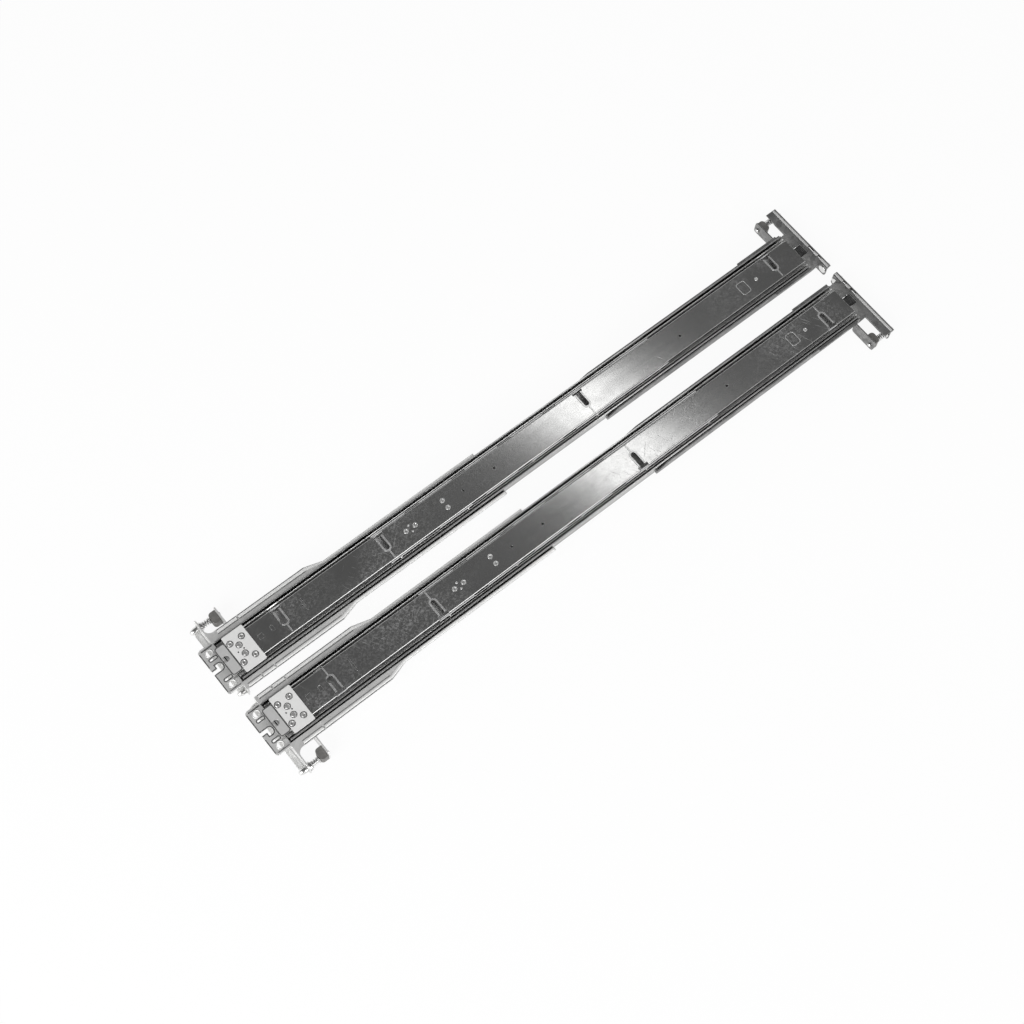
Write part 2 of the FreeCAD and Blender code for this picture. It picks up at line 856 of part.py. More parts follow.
def cable_arm_tab(body, tab_top, tab):
    """The tab behind the flange, with its two ends turned up."""
    corner = size("tab_corner")
    rear = -size("tab_reach")
    outline = [
        (rear + corner, -tab, corner, 1),
        (sheet_metal, -tab),
        (sheet_metal, tab),
        (rear + corner, tab),
        (rear, tab - corner, corner, 1),
        (rear, corner - tab),
    ]
    add(body, "Z", tab_top - sheet_metal, tab_top, outline)
    for low in (-tab, tab - sheet_metal):
        turned_up = box(rear + corner, low, sheet_metal, low + sheet_metal)
        add(body, "Z", tab_top - sheet_metal, tab_top + size("tab_wall"), turned_up)


def rear_flange_outline(strip, tab_top, tab):
    """The rear flange, a little lower where the cable-arm tab leaves it."""
    corner = size("corner_radius")
    return [
        (flange_bottom + corner, as_size(0), corner, 1),
        (flange_top - corner, as_size(0)),
        (flange_top, corner, corner, 1),
        (flange_top, strip - corner),
        (flange_top - corner, strip, corner, 1),
        (tab, strip),
        (tab, tab_top),
        (-tab, tab_top),
        (-tab, strip),
        (flange_bottom + corner, strip),
        (flange_bottom, strip - corner, corner, 1),
        (flange_bottom, corner),
    ]


def upper_strip(wall, joint):
    """The side strip towards the sprung stud, with a fillet into the flange."""
    tray = size("tray_half_width")
    fillet = size("web_fillet")
    return [
        (as_size(0), wall - sheet_metal),
        (joint, wall - sheet_metal),
        (joint, tray),
        (sheet_metal + fillet, tray),
        (sheet_metal, tray + fillet, fillet, -1),
        (as_size(0), tray + fillet),
    ]


def rear_flange_holes(body, tab_top):
    """Stud holes and the openings of the cable-arm tab."""
    stud_holes = [
        (sprung_line, stud_level, stud_hole),
        (fixed_line, stud_level, guided_radius),
    ]
    cut(body, "X", -1, sheet_metal + 1, *stud_holes)
    ear_front = size("ear_distance") - 1
    cut(body, "X", ear_front, ear_back + 1, (sprung_line, stud_level, shank_bore))
    middle = (sheet_metal - size("tab_reach")) / 2
    half_slot = size("tab_slot_length") / 2
    openings = []
    for side in (1, -1):
        openings.append((middle, size("tab_hole_line") * side, size("tab_hole_radius")))
        openings.append(
            round_ended(
                middle - half_slot,
                middle + half_slot,
                size("tab_slot_line") * side,
                size("tab_slot_half_width"),
            )
        )
    edge = -size("tab_reach") - 1
    hook = [
        (edge, -1.8),
        (middle + 0.9, -1.8),
        (middle + 3.4, as_size(0.7), as_size(2.5), 1),
        (middle + 3.4, as_size(3.2)),
        (middle + 0.9, as_size(5.7), as_size(2.5), 1),
        (middle - 2.6, as_size(5.7)),
        (middle - 2.6, as_size(1.8)),
        (edge, as_size(1.8)),
    ]
    openings.append(hook)
    cut(body, "Z", tab_top - sheet_metal - 1, tab_top + 1, *openings)


def ear(body, near, wall_inside, top):
    """The upright plate behind a flange that carries the sprung stud's guide."""
    corner = size("corner_radius")
    foot = size("ear_foot")
    outline = [
        (wall_inside + corner, foot, corner, 1),
        (flange_top - corner, foot),
        (flange_top, foot + corner, corner, 1),
        (flange_top, top - corner),
        (flange_top - corner, top, corner, 1),
        (wall_inside, top),
        (wall_inside, foot + corner),
    ]
    add(body, "X", near, near + sheet_metal, outline)


def slide_rivets():
    """Shoulder rivets: head under the bracket, shoulder in its slot, tenon in the member."""
    body = rail_body("slide_rivets")
    web_bottom = slide_back - size("bracket_gap") - sheet_metal
    head_top = web_bottom - size("shoulder_gap")
    shoulder = size("guide_slot_half_width") - size("shoulder_gap")
    places = shoulder_places()
    heads = [(a, b, size("shoulder_head_radius")) for a, b in places]
    add(body, "Z", head_top - 1.2, head_top, *heads)
    add(body, "Z", head_top, slide_back, *[(a, b, shoulder) for a, b in places])
    add(body, "Z", slide_back, outer_web_top, *[(a, b, rivet_radius) for a, b in places])


# Front bracket: arms riveted to the outer member, flat, flange, folded lip and ear

def front_bracket():
    body = rail_body("front_bracket")
    start = depth - size("front_bracket_length")
    wall = size("front_half_width")
    bottom = slide_back - sheet_metal
    ramp_start = depth - size("ramp_start")
    ramp_end = depth - size("ramp_end")
    flat = size("flat_level")
    wall_top = size("front_wall_level")
    add(body, "Z", bottom, slide_back, box(start, -wall, ramp_start, wall))
    for low in (-wall, wall - sheet_metal):
        side_wall = [
            (start, bottom),
            (member_front, bottom),
            (member_front, wall_top),
            (start + 14, wall_top),
            (start, wall_top - 5),
        ]
        add(body, "Y", low, low + sheet_metal, side_wall)
    ramp = [
        (ramp_start, bottom),
        (ramp_end, flat - sheet_metal),
        (ramp_end, flat),
        (ramp_start, slide_back),
    ]
    add(body, "Y", -wall, wall, ramp)
    fillet = size("web_fillet")
    inner_face = depth - sheet_metal
    flat_outline = [
        (ramp_end, -wall),
        (inner_face - fillet, -wall),
        (inner_face, -wall - fillet, fillet, -1),
        (depth, -wall - fillet),
        (depth, flange_top),
        (ramp_end, flange_top),
    ]
    add(body, "Z", flat - sheet_metal, flat, flat_outline)
    corner = size("corner_radius")
    flange = [
        (flange_bottom + corner, as_size(0), corner, 1),
        (flange_top - corner, as_size(0)),
        (flange_top, corner, corner, 1),
        (flange_top, flat),
        (flange_bottom, flat),
        (flange_bottom, corner),
    ]
    add(body, "X", inner_face, depth, flange)
    folded_lip(body, flat)
    ear(body, depth - ear_back, wall - sheet_metal, flat)
    edge_folds(body, wall, wall_top)
    front_bracket_holes(body, bottom, flat)
    latch_lugs(body, bottom)


def folded_lip(body, flat):
    """The lip in front of the flange, folded back on itself, with two slots beside its fold."""
    tip = depth + size("lip_reach")
    fold = sheet_metal
    section = [
        (depth - 0.2, flat - fold * 2),
        (tip - fold, flat - fold * 2),
        (tip, flat - fold, fold, 1),
        (tip - fold, flat, fold, 1),
        (depth - 0.2, flat),
    ]
    add(body, "Y", flange_bottom, flange_top, section)
    reach = depth + size("lip_slot_reach")
    for word in ("wide_slot", "narrow_slot"):
        middle = size(f"{word}_line")
        half = size(f"{word}_half_length")
        slot = box(depth, middle - half, reach, middle + half)
        cut(body, "Z", flat - fold * 2 - 1, flat + 1, slot)


def edge_folds(body, wall, wall_top):
    """The short outward folds along the front ends of the arms."""
    folds = [
        box(member_front - 57, wall - 0.2, member_front - 4, wall + 1.6),
        box(member_front - 48, -wall - 1.6, member_front, 0.2 - wall),
    ]
    for fold in folds:
        add(body, "Z", wall_top - sheet_metal, wall_top, fold)


def front_bracket_holes(body, bottom, flat):
    """Stud holes, the hook's slot, the latch window and the rivet holes."""
    inner_face = depth - sheet_metal
    stud_holes = [
        (sprung_line, stud_level, stud_hole),
        (fixed_line, stud_level, guided_radius),
    ]
    cut(body, "X", inner_face - 1, depth + 1, *stud_holes)
    half = size("hook_half_width") + 0.6
    middle = size("hook_line")
    low = size("hook_slot_low")
    hook_slot = box(middle - half, low, middle + half, size("hook_slot_high"))
    cut(body, "X", inner_face - 1, depth + 1, hook_slot)
    ear_front = depth - ear_back - 1
    cut(body, "X", ear_front, ear_front + sheet_metal + 2, (sprung_line, stud_level, shank_bore))
    half_window = size("window_half_width")
    window = round_box(
        depth - size("window_rear"),
        -half_window,
        depth - size("window_front"),
        half_window,
        as_size(0.8),
    )
    cut(body, "Z", bottom - 1, flat + 1, window)
    rivets = [(a, b, rivet_radius) for a, b in front_rivet_places()]
    cut(body, "Z", bottom - 1, slide_back + 1, *rivets)


def latch_lugs(body, bottom):
    """Two lugs under the web that carry the latch's pivot pin."""
    middle = depth - size("pivot_distance")
    radius = size("lug_radius")
    level = size("pivot_level")
    near = size("hub_half_width") + size("lug_gap")
    outline = [
        (middle - radius, level),
        (middle, level - radius, radius, 1),
        (middle + radius, level, radius, 1),
        (middle + radius, bottom + 0.5),
        (middle - radius, bottom + 0.5),
    ]
    hole = (middle, level, size("pivot_radius"))
    for low in (near, -near - sheet_metal):
        add(body, "Y", low, low + sheet_metal, outline)
        cut(body, "Y", low - 0.2, low + sheet_metal + 0.2, hole)


def front_rivets():
    """Rivets that hold the front bracket to the outer member."""
    body = rail_body("front_rivets")
    places = front_rivet_places()
    bottom = slide_back - sheet_metal
    heads = [(a, b, rivet_radius * 2) for a, b in places]
    add(body, "Z", bottom - 1.1, bottom, *heads)
    add(body, "Z", bottom, outer_web_top, *[(a, b, rivet_radius) for a, b in places])


# Studs and their guides, at either flange

def front_or_rear(end):
    """Where a flange's outer face is, and which way its studs point."""
    return (depth, 1) if end == "front" else (as_size(0), -1)


def sprung_stud(end):
    face, outward = front_or_rear(end)
    body = rail_body(f"{end}_sprung_stud", face, sprung_line, stud_level)
    tip = size("stud_reach")
    nose = size("stud_nose")
    radius = size("stud_radius")
    collar = sheet_metal + size("stop_gap")
    collar_end = collar + size("collar_length")
    tail = ear_back + size("tail_length")
    neck = size("neck_radius")
    profile = [
        (tip, as_size(0)),
        (tip, radius - nose),
        (tip - nose, radius),
        (as_size(0), radius),
        (as_size(0), guided_radius),
        (-collar, guided_radius),
        (-collar, size("collar_radius")),
        (-collar_end, size("collar_radius")),
        (-collar_end, neck),
        (-tail, neck),
        (-tail, as_size(0)),
    ]
    turn(body, [(a * outward, b) for a, b in profile])


def fixed_stud(end):
    face, outward = front_or_rear(end)
    body = rail_body(f"{end}_fixed_stud", face, fixed_line, stud_level)
    tip = size("stud_reach")
    nose = size("stud_nose")
    radius = size("stud_radius")
    head = sheet_metal + 1.2
    profile = [
        (tip, as_size(0)),
        (tip, radius - nose),
        (tip - nose, radius),
        (as_size(0), radius),
        (as_size(0), guided_radius),
        (-sheet_metal, guided_radius),
        (-sheet_metal, stud_head_radius),
        (-head, stud_head_radius),
        (-head, as_size(0)),
    ]
    turn(body, [(a * outward, b) for a, b in profile])


def stud_guide(end):
    """The D-shaped block on the ear, bored for the sprung stud's shank."""
    face, outward = front_or_rear(end)
    body = rail_body(f"{end}_stud_guide", face, sprung_line, 0)
    near = size("ear_distance") - size("guide_length")
    far = size("ear_distance")
    round_off = size("guide_round")
    low = -size("guide_inner_width")
    high = size("guide_outer_width")
    outline = [
        (-far, high),
        (-far, low),
        (-near - round_off, low),
        (-near, low + round_off, round_off, 1),
        (-near, high - round_off),
        (-near - round_off, high, round_off, 1),
    ]
    if outward < 0:
        outline = mirrored(outline)
    half = size("guide_half_height")
    add(body, "Z", stud_level - half, stud_level + half, outline)
    bore = (as_size(0), stud_level, shank_bore)
    if outward > 0:
        cut(body, "X", -far - 1, -near + 1, bore)
    else:
        cut(body, "X", near - 1, far + 1, bore)


def mirrored(path):
    """The same outline with its first distance reversed, still counter-clockwise."""
    turned = []
    count = len(path)
    for number in range(count - 1, -1, -1):
        a, b = path[number][:2]
        bend = path[(number + 1) % count][2:]
        turned.append((-a, b) + tuple(bend))
    return turned


def stud_spring(end):
    """A coil spring between the sprung stud's collar and its guide."""
    face, outward = front_or_rear(end)
    wire = size("coil_wire_radius")
    collar_end = sheet_metal + size("stop_gap") + size("collar_length")
    room = size("ear_distance") - size("guide_length") - collar_end
    rise = room - wire * 2 - 0.1
    helix = doc.addObject("Part::Helix", f"{end}_helix")
    bind(helix, "Radius", size("coil_radius"))
    bind(helix, "Height", rise)
    bind(helix, "Pitch", rise / size("coil_turns"))
    ring = doc.addObject("Part::RegularPolygon", f"{end}_wire")
    ring.Polygon = 6
    bind(ring, "Circumradius", wire)
    bind(ring, "Placement.Base.x", size("coil_radius"))
    ring.Placement.Rotation = FreeCAD.Rotation(FreeCAD.Vector(1, 0, 0), 90)
    coil = doc.addObject("Part::Sweep", f"right_{end}_stud_spring")
    coil.Sections = [ring]
    coil.Spine = (helix, ["Edge1"])
    coil.Solid = True
    coil.Frenet = True
    coil.Placement.Rotation = FreeCAD.Rotation(FreeCAD.Vector(0, 1, 0), -90 * outward)
    start = collar_end + wire + 0.05
    place(coil, f"{end}_stud_spring", face - start * outward, sprung_line, stud_level)


# Front latch: a lever with a finger pad and a hook, on a pin under the front bracket

def front_latch():
    body = rail_body("front_latch")
    middle = depth - size("pivot_distance")
    level = size("pivot_level")
    hub = size("hub_half_width")
    metal = size("latch_sheet")
    plate_low = level - metal / 2 - 0.6
    plate_high = plate_low + metal
    window_rear = depth - size("window_rear")
    pad_start = window_rear + size("pad_gap")
    pad_end = depth - size("window_front") - size("pad_gap")
    pad_top = size("pad_level")
    hook_line = size("hook_line")
    hook_half = size("hook_half_width")
    hook_start = middle + size("lug_radius") + 0.8
    add(body, "Y", -hub, hub, (middle, level, size("hub_radius")))
    tail = middle - size("latch_tail")
    add(body, "Y", -size("leaf_half_width"), size("leaf_half_width"),
        box(tail, plate_low, middle - 1, plate_high))
    add(body, "Y", -size("pad_half_width"), size("pad_half_width"),
        box(middle + 1, plate_low, pad_start + metal, plate_high))
    cross = box(hook_start, hook_line - hook_half, pad_start + metal, size("pad_half_width"))
    add(body, "Z", plate_low, plate_high, cross)
    pad = [
        (pad_start, plate_low),
        (pad_start + metal, plate_low),
        (pad_start + metal, pad_top - metal),
        (pad_end, pad_top - metal),
        (pad_end, pad_top),
        (pad_start, pad_top),
    ]
    add(body, "Y", -size("pad_half_width"), size("pad_half_width"), pad)
    tip = depth + size("hook_reach")
    low = size("hook_level")
    high = low + size("hook_height")
    barb = depth + size("post_gap")
    hook = [
        (hook_start, low),
        (tip - 2.2, low),
        (tip, low + 2.2),
        (tip - 2.6, high + size("hook_barb")),
        (barb, high + size("hook_barb")),
        (barb, high),
        (hook_start, high),
    ]
    add(body, "Y", hook_line - hook_half, hook_line + hook_half, hook)
    bore = (middle, level, size("pivot_radius") + 0.05)
    cut(body, "Y", -hub - 1, hub + 1, bore)


def latch_pin():
    body = rail_body("latch_pin")
    middle = depth - size("pivot_distance")
    level = size("pivot_level")
    reach = size("hub_half_width") + size("lug_gap") + sheet_metal
    add(body, "Y", -reach, reach, (middle, level, size("pivot_radius")))
    head = (middle, level, size("pivot_radius") + 0.7)
    add(body, "Y", reach, reach + 0.8, head)
    add(body, "Y", -reach - 0.8, -reach, head)


def latch_spring():
    """A bowed leaf between the bracket's web and the latch's tail."""
    body = rail_body("latch_spring")
    top = slide_back - sheet_metal
    metal = size("leaf_sheet")
    plate_high = size("pivot_level") + size("latch_sheet") / 2 - 0.6
    end = depth - size("pivot_distance") - size("hub_radius") - 0.5
    half = size("leaf_span") / 2
    sag = top - plate_high
    outer = (half * half + sag * sag) / (sag * 2)
    inner_half = half - 0.5
    inner_sag = sag - metal
    inner = (inner_half * inner_half + inner_sag * inner_sag) / (inner_sag * 2)
    middle = end - half
    outline = [
        (middle - half, top),
        (middle, plate_high, outer, 1),
        (middle + half, top, outer, 1),
        (middle + inner_half, top),
        (middle, plate_high + metal, inner, -1),
        (middle - inner_half, top, inner, -1),
    ]
    add(body, "Y", -size("leaf_half_width"), size("leaf_half_width"), outline)


# Rear link plate on the inner member and the tongue beside it

def link_plate():
    body = rail_body("link_plate")
    start = size("link_start")
    end = start + size("link_length")
    half = size("link_half_width")
    top = server_face + size("link_sheet")
    add(body, "Z", server_face, top, round_box(start, -half, end, half, as_size(1.2)))
    through = (server_face - 1, top + 1)
    cut(body, "Z", *through, *[(a, b, rivet_radius) for a, b in link_rivet_places()])
    small = [(start + 5.2, as_size(0), as_size(0.8)), (start + 11.8, as_size(0), as_size(0.8))]
    cut(body, "Z", *through, *small)


def link_rivets():
    body = rail_body("link_rivets")
    top = server_face + size("link_sheet")
    head = size("rivet_head_height")
    places = link_rivet_places()
    add(body, "Z", inner_web, top, *[(a, b, rivet_radius) for a, b in places])
    add(body, "Z", top, top + head, *[(a, b, size("rivet_head_radius")) for a, b in places])
    add(body, "Z", inner_web - head, inner_web, *[(a, b, rivet_radius * 1.4) for a, b in places])
    dimples = [(a, b, size("rivet_dimple_radius")) for a, b in places[:4]]
    cut(body, "Z", top + head / 2, top + head * 2, *dimples)


def tongue():
    body = rail_body("tongue")
    rear = -size("inner_overhang")
    front = size("link_start") - size("tongue_gap")
    half = size("tongue_half_width")
    corner = as_size(2.5)
    outline = [
        (rear, -half),
        (front - corner, -half),
        (front, corner - half, corner, 1),
        (front, half - corner),
        (front - corner, half, corner, 1),
        (rear, half),
    ]
    top = server_face + size("tongue_sheet")
    add(body, "Z", server_face, top, outline)
    hook_end = half * 0.3
    notch = [
        (rear - 1, -1.3),
        (as_size(1.5), -1.3),
        (as_size(4.5), as_size(1.7), as_size(3.0), 1),
        (as_size(1.5), hook_end, as_size(3.1), 1),
        (as_size(-1.0), hook_end),
        (as_size(-1.0), 1.6),
        (rear - 1, 1.6),
    ]
    cut(body, "Z", server_face - 1, top + 1, notch)


# Travel stop and slide lock, under the inner member's web

def travel_stop():
    body = rail_body("travel_stop")
    middle = size("stop_place")
    half = size("stop_half_size")
    metal = size("stop_sheet")
    plate = box(middle - half, -half, middle + half, half)
    add(body, "Z", inner_web - metal, inner_web, plate)
    tab = box(middle + half - metal, -half, middle + half, half)
    add(body, "Z", inner_web - size("stop_depth"), inner_web, tab)
    holes = [(a, b, rivet_radius) for a, b in stop_rivet_places()]
    cut(body, "Z", inner_web - metal - 1, inner_web + 1, *holes)


def inner_rivets():
    """The travel stop's rivets, the lock lever's pivot rivet and the post of its spring."""
    body = rail_body("inner_rivets")
    head = size("rivet_head_height")
    lock_bottom = inner_web - size("lock_gap") * 2 - size("lock_sheet")
    groups = [
        (stop_rivet_places(), inner_web - size("stop_sheet")),
        (lock_pin_places(), lock_bottom),
    ]
    for places, bottom in groups:
        heads = [(a, b, size("rivet_head_radius")) for a, b in places]
        add(body, "Z", bottom, server_face, *[(a, b, rivet_radius) for a, b in places])
        add(body, "Z", server_face, server_face + head, *heads)
        add(body, "Z", bottom - head, bottom, *heads)


def lock_lever():
    body = rail_body("lock_lever")
    along, line = lock_pin_places()[0]
    top = inner_web - size("lock_gap")
    hub = size("lock_hub_radius")
    tip = along + size("lock_reach")
    outline = [
        (along, line - hub),
        (tip - 3, line - hub),
        (tip, line - hub + 3, as_size(3), 1),
        (tip, line + 1),
        (tip - 2, line + 3, as_size(2), 1),
        (along, line + hub),
        (along - hub, line, hub, 1),
    ]
    outline[0] = outline[0] + (hub, 1)
    add(body, "Z", top - size("lock_sheet"), top, outline)
    bore = (along, line, rivet_radius + 0.1)
    cut(body, "Z", top - size("lock_sheet") - 1, top + 1, bore)


def lock_spring():
    """A thin leaf from the post to the lever's edge."""
    body = rail_body("lock_spring")
    along, post_line = lock_pin_places()[1]
    metal = size("leaf_sheet")
    top = inner_web - size("lock_gap") - 0.2
    low = post_line - rivet_radius
    edge = size("lock_line") - size("lock_hub_radius")
    outline = [
        (along - 2, low - metal),
        (along + 1, low - metal),
        (along + 28, edge - metal),
        (along + 31, edge - metal),
        (along + 31, edge),
        (along + 28, edge),
        (along + 1, low),
        (along - 2, low),
    ]
    add(body, "Z", top - 1.1, top, outline)


outer_member()
intermediate_member()
inner_member()
outer_cage()
inner_cage()
balls("outer_balls", outer_ball_line, outer_ball_level)
balls("inner_balls", inner_ball_line, inner_ball_level)
rear_bracket()
rear_flange()
slide_rivets()
front_bracket()
front_rivets()
for end in ("front", "rear"):
    sprung_stud(end)
    fixed_stud(end)
    stud_guide(end)
    stud_spring(end)
front_latch()
latch_pin()
latch_spring()
link_plate()
link_rivets()
tongue()
travel_stop()
inner_rivets()
lock_lever()
lock_spring()
doc.recompute()

# The left-hand rail is the mirror image of the right-hand one

pieces = list(right_hand)
for piece in right_hand:
    twin = doc.addObject("Part::Mirroring", piece.Label.replace("right", "left", 1))
    twin.Label = piece.Label.replace("right", "left", 1)
    twin.Source = piece
    twin.Normal = FreeCAD.Vector(0, 1, 0)
    pieces.append(twin)
doc.recompute()

# Checks before anything is written

for item in doc.Objects:
    faults = [word for word in item.State if word in ("Invalid", "Error")]
    if faults:
        raise RuntimeError(f"{item.Label}: {faults}")
    if item.TypeId == "PartDesign::Pocket":
        before = item.BaseFeature.Shape.Volume
        if item.Shape.Volume > before - 0.01:
            raise RuntimeError(f"{item.Label} cuts nothing")
    if item.TypeId == "PartDesign::Pad" and item.BaseFeature is not None:
        before = item.BaseFeature.Shape.Volume
        if item.Shape.Volume < before + 0.01:
            raise RuntimeError(f"{item.Label} adds nothing")
for piece in pieces:
    if piece.Shape.isNull() or not piece.Shape.isValid():
        raise RuntimeError(f"{piece.Label} is not a valid shape")

# One STEP file for each piece

os.makedirs("parts", exist_ok=True)
whole = FreeCAD.BoundBox()
for piece in pieces:
    piece.Shape.exportStep(f"parts/{piece.Label}.step")
    whole.add(piece.Shape.BoundBox)
    print(f"{piece.Label:32s} {len(piece.Shape.Solids):3d} solids {piece.Shape.Volume:10.1f} mm3")
print(f"{len(pieces)} pieces, {whole.XLength:.1f} x {whole.YLength:.1f} x {whole.ZLength:.1f} mm")
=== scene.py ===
# %% [markdown]
# # A pair of sliding server rails
#
# Two ball-bearing slides lie side by side, mirror images of each other. Each has three channels
# of rolled steel, a bracket at either end and sprung studs that snap into a rack.
# The shapes of the sheet metal come from a CAD model, which is loaded as a fixed frame.
# This lesson gives every surface its finish, adds the springs, studs and rivets as smooth
# surfaces worked out with numpy, and sets up the light in which polished metal looks like metal.

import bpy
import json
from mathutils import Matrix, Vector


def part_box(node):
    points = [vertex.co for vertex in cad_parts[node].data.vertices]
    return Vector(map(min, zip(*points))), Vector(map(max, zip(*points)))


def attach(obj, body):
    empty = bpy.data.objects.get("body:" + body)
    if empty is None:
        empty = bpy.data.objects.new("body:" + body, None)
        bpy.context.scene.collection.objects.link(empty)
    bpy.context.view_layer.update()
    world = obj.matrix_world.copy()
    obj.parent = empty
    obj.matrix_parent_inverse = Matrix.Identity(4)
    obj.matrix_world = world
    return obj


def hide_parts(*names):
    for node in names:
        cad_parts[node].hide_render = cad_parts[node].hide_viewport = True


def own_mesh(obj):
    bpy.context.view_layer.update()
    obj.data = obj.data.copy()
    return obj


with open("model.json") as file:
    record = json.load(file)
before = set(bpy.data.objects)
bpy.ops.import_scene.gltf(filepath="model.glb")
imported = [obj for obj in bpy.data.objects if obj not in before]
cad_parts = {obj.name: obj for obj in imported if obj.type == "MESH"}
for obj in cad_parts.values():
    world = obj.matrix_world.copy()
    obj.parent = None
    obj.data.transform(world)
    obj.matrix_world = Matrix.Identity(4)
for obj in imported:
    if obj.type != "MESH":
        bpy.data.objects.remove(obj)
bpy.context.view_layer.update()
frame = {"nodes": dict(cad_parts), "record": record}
nodes = frame["nodes"]

# %% [markdown]
# numpy works out the surfaces, bmesh turns their faces outwards, and bpy builds the scene.
# Blender counts in metres and small hardware is easier to think of in millimetres, so one
# number, `MM`, turns one into the other.

# %% Tools and units
import json
import math

import bmesh
import bpy
import numpy as np
from mathutils import Quaternion, Vector

MM = 0.001
RAILS = ("right", "left")
ACROSS = {"right": 1.0, "left": -1.0}    # which way a rail's upper edge points along Y
ENDS = {"front": 1.0, "rear": -1.0}      # which way a flange's studs point along X


def middle(node):
    """The centre of a CAD node's box."""
    low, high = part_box(node)
    return (low + high) / 2


print("the", " and the ".join(RAILS), "rail, with a", " and a ".join(ENDS), "flange each")

# %% [markdown]
# ## The photographer's place
#
# The photograph looks steeply down from behind the rails' rear left. Three things place a
# camera: where it stands, what it looks at, and how far it leans. The lens then sets how much
# it sees: a long focal length keeps the two rails almost parallel, as they are in the photograph.

# %% Camera
CAMERA_PLACE = Vector((-535.6, -495.5, 1624.2)) * MM
CAMERA_TARGET = Vector((-54.8, -1.8, 0.0)) * MM
CAMERA_LEAN = math.radians(5.64)
SENSOR_WIDTH = 36.0                      # millimetres, as the focal length is
FOCAL_LENGTH = 63.35

camera = bpy.data.objects.new("camera", bpy.data.cameras.new("camera"))
bpy.context.scene.collection.objects.link(camera)
bpy.context.scene.camera = camera
camera.data.lens = FOCAL_LENGTH
camera.data.sensor_width = SENSOR_WIDTH
camera.location = CAMERA_PLACE
camera.rotation_mode = "QUATERNION"
aim = (CAMERA_TARGET - CAMERA_PLACE).to_track_quat("-Z", "Y")
camera.rotation_quaternion = aim @ Quaternion((0, 0, 1), CAMERA_LEAN)
print("the camera is", round((CAMERA_TARGET - CAMERA_PLACE).length, 2), "m from its target")

# %% [markdown]
# ## Light for polished metal
#
# A polished face has hardly any colour of its own: it shows what it mirrors. In the photograph
# the server faces are dark at both ends and almost white in the middle, so something bright
# hangs where their middle mirrors it. A lamp could be moved about by trial, but the law of
# reflection gives its place at once: the camera's own mirror image below the face looks
# straight through the face at whatever the camera sees in it.

# %% A softbox where the rails mirror it
SOFTBOX_HEIGHT = 1.6                     # metres above the floor
SOFTBOX_RADIANCE = 2.6
BAND_START = 22 * MM                     # of the bright band along the rails
BAND_END = 110 * MM
BAND_REACH = 800 * MM                    # how far the softbox runs on across the rails
DOWN = Vector((0, 0, -1))
face_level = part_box("right_inner_member")[1].z


def mirrored_place(point, height):
    """Where the ceiling at this height is seen in a level face at the point.

    The line from the camera's mirror image through the point, carried on to the height."""
    image = Vector((CAMERA_PLACE.x, CAMERA_PLACE.y, 2 * point.z - CAMERA_PLACE.z))
    share = (height - point.z) / (point.z - image.z)
    return point + (point - image) * share


def panel(name, place, target, width, depth, radiance):
    """A soft rectangular lamp. A white panel of radiance 1 looks as bright as white paper.

    Its power is pi times its area times its radiance."""
    lamp = bpy.data.lights.new(name, "AREA")
    lamp.shape = "RECTANGLE"
    lamp.size = width
    lamp.size_y = depth
    lamp.energy = math.pi * width * depth * radiance
    made = bpy.data.objects.new(name, lamp)
    bpy.context.scene.collection.objects.link(made)
    made.location = place
    made.rotation_mode = "QUATERNION"
    made.rotation_quaternion = (target - place).to_track_quat("-Z", "Y")


near, far = [
    mirrored_place(Vector((x, 0, face_level)), SOFTBOX_HEIGHT) for x in (BAND_START, BAND_END)
]
centre = (near + far) / 2
panel("softbox", centre, centre + DOWN, far.x - near.x, BAND_REACH * 2, SOFTBOX_RADIANCE)
print("the softbox is", round(far.x - near.x, 2), "m wide and its centre is at", tuple(centre))

# %% [markdown]
# The rest of the light must not show in the level faces, or they would all turn white. Two
# large panels stand low at the sides, where only walls, bends and rough surfaces catch them.

# %% Side panels
SIDE_PANELS = {                          # place, width, depth and radiance
    "key_panel": (Vector((-2.2, -0.6, 1.5)), 1.7, 1.7, 5.6),
    "fill_panel": (Vector((0.4, -2.6, 1.6)), 1.8, 1.4, 3.4),
}
for name, (place, width, depth, radiance) in SIDE_PANELS.items():
    panel(name, place, Vector((0, 0, 0)), width, depth, radiance)

# %% [markdown]
# The room, the floor and every finish are small graphs of nodes. Writing each graph out by hand
# would hide what differs between them, so a few short helpers add one node each and return its
# output.

# %% Node helpers

def connect(tree, socket, value):
    """Links an output to the socket, or writes a plain value into it."""
    if isinstance(value, bpy.types.NodeSocket):
        tree.links.new(value, socket)
    else:
        socket.default_value = value


def add_node(tree, kind, settings=None, **inputs):
    """Adds one node. Underscores in an input's name stand for spaces."""
    made = tree.nodes.new(kind)
    for word, value in (settings or {}).items():
        setattr(made, word, value)
    for word, value in inputs.items():
        connect(tree, made.inputs[word.replace("_", " ")], value)
    return made


def remap(tree, value, low, high, to_low=0.0, to_high=1.0, easing="LINEAR"):
    """Spreads the range low to high over another range, and holds it beyond its ends."""
    made = add_node(
        tree,
        "ShaderNodeMapRange",
        {"interpolation_type": easing},
        Value=value,
        From_Min=low,
        From_Max=high,
        To_Min=to_low,
        To_Max=to_high,
    )
    return made.outputs[0]


def arithmetic(tree, operation, first, second):
    """One sum, product or comparison of two values."""
    made = add_node(tree, "ShaderNodeMath", {"operation": operation})
    connect(tree, made.inputs[0], first)
    connect(tree, made.inputs[1], second)
    return made.outputs[0]


def plus(tree, first, second):
    """The sum of two values."""
    return arithmetic(tree, "ADD", first, second)


def less(tree, first, second):
    """The first value less the second."""
    return arithmetic(tree, "SUBTRACT", first, second)


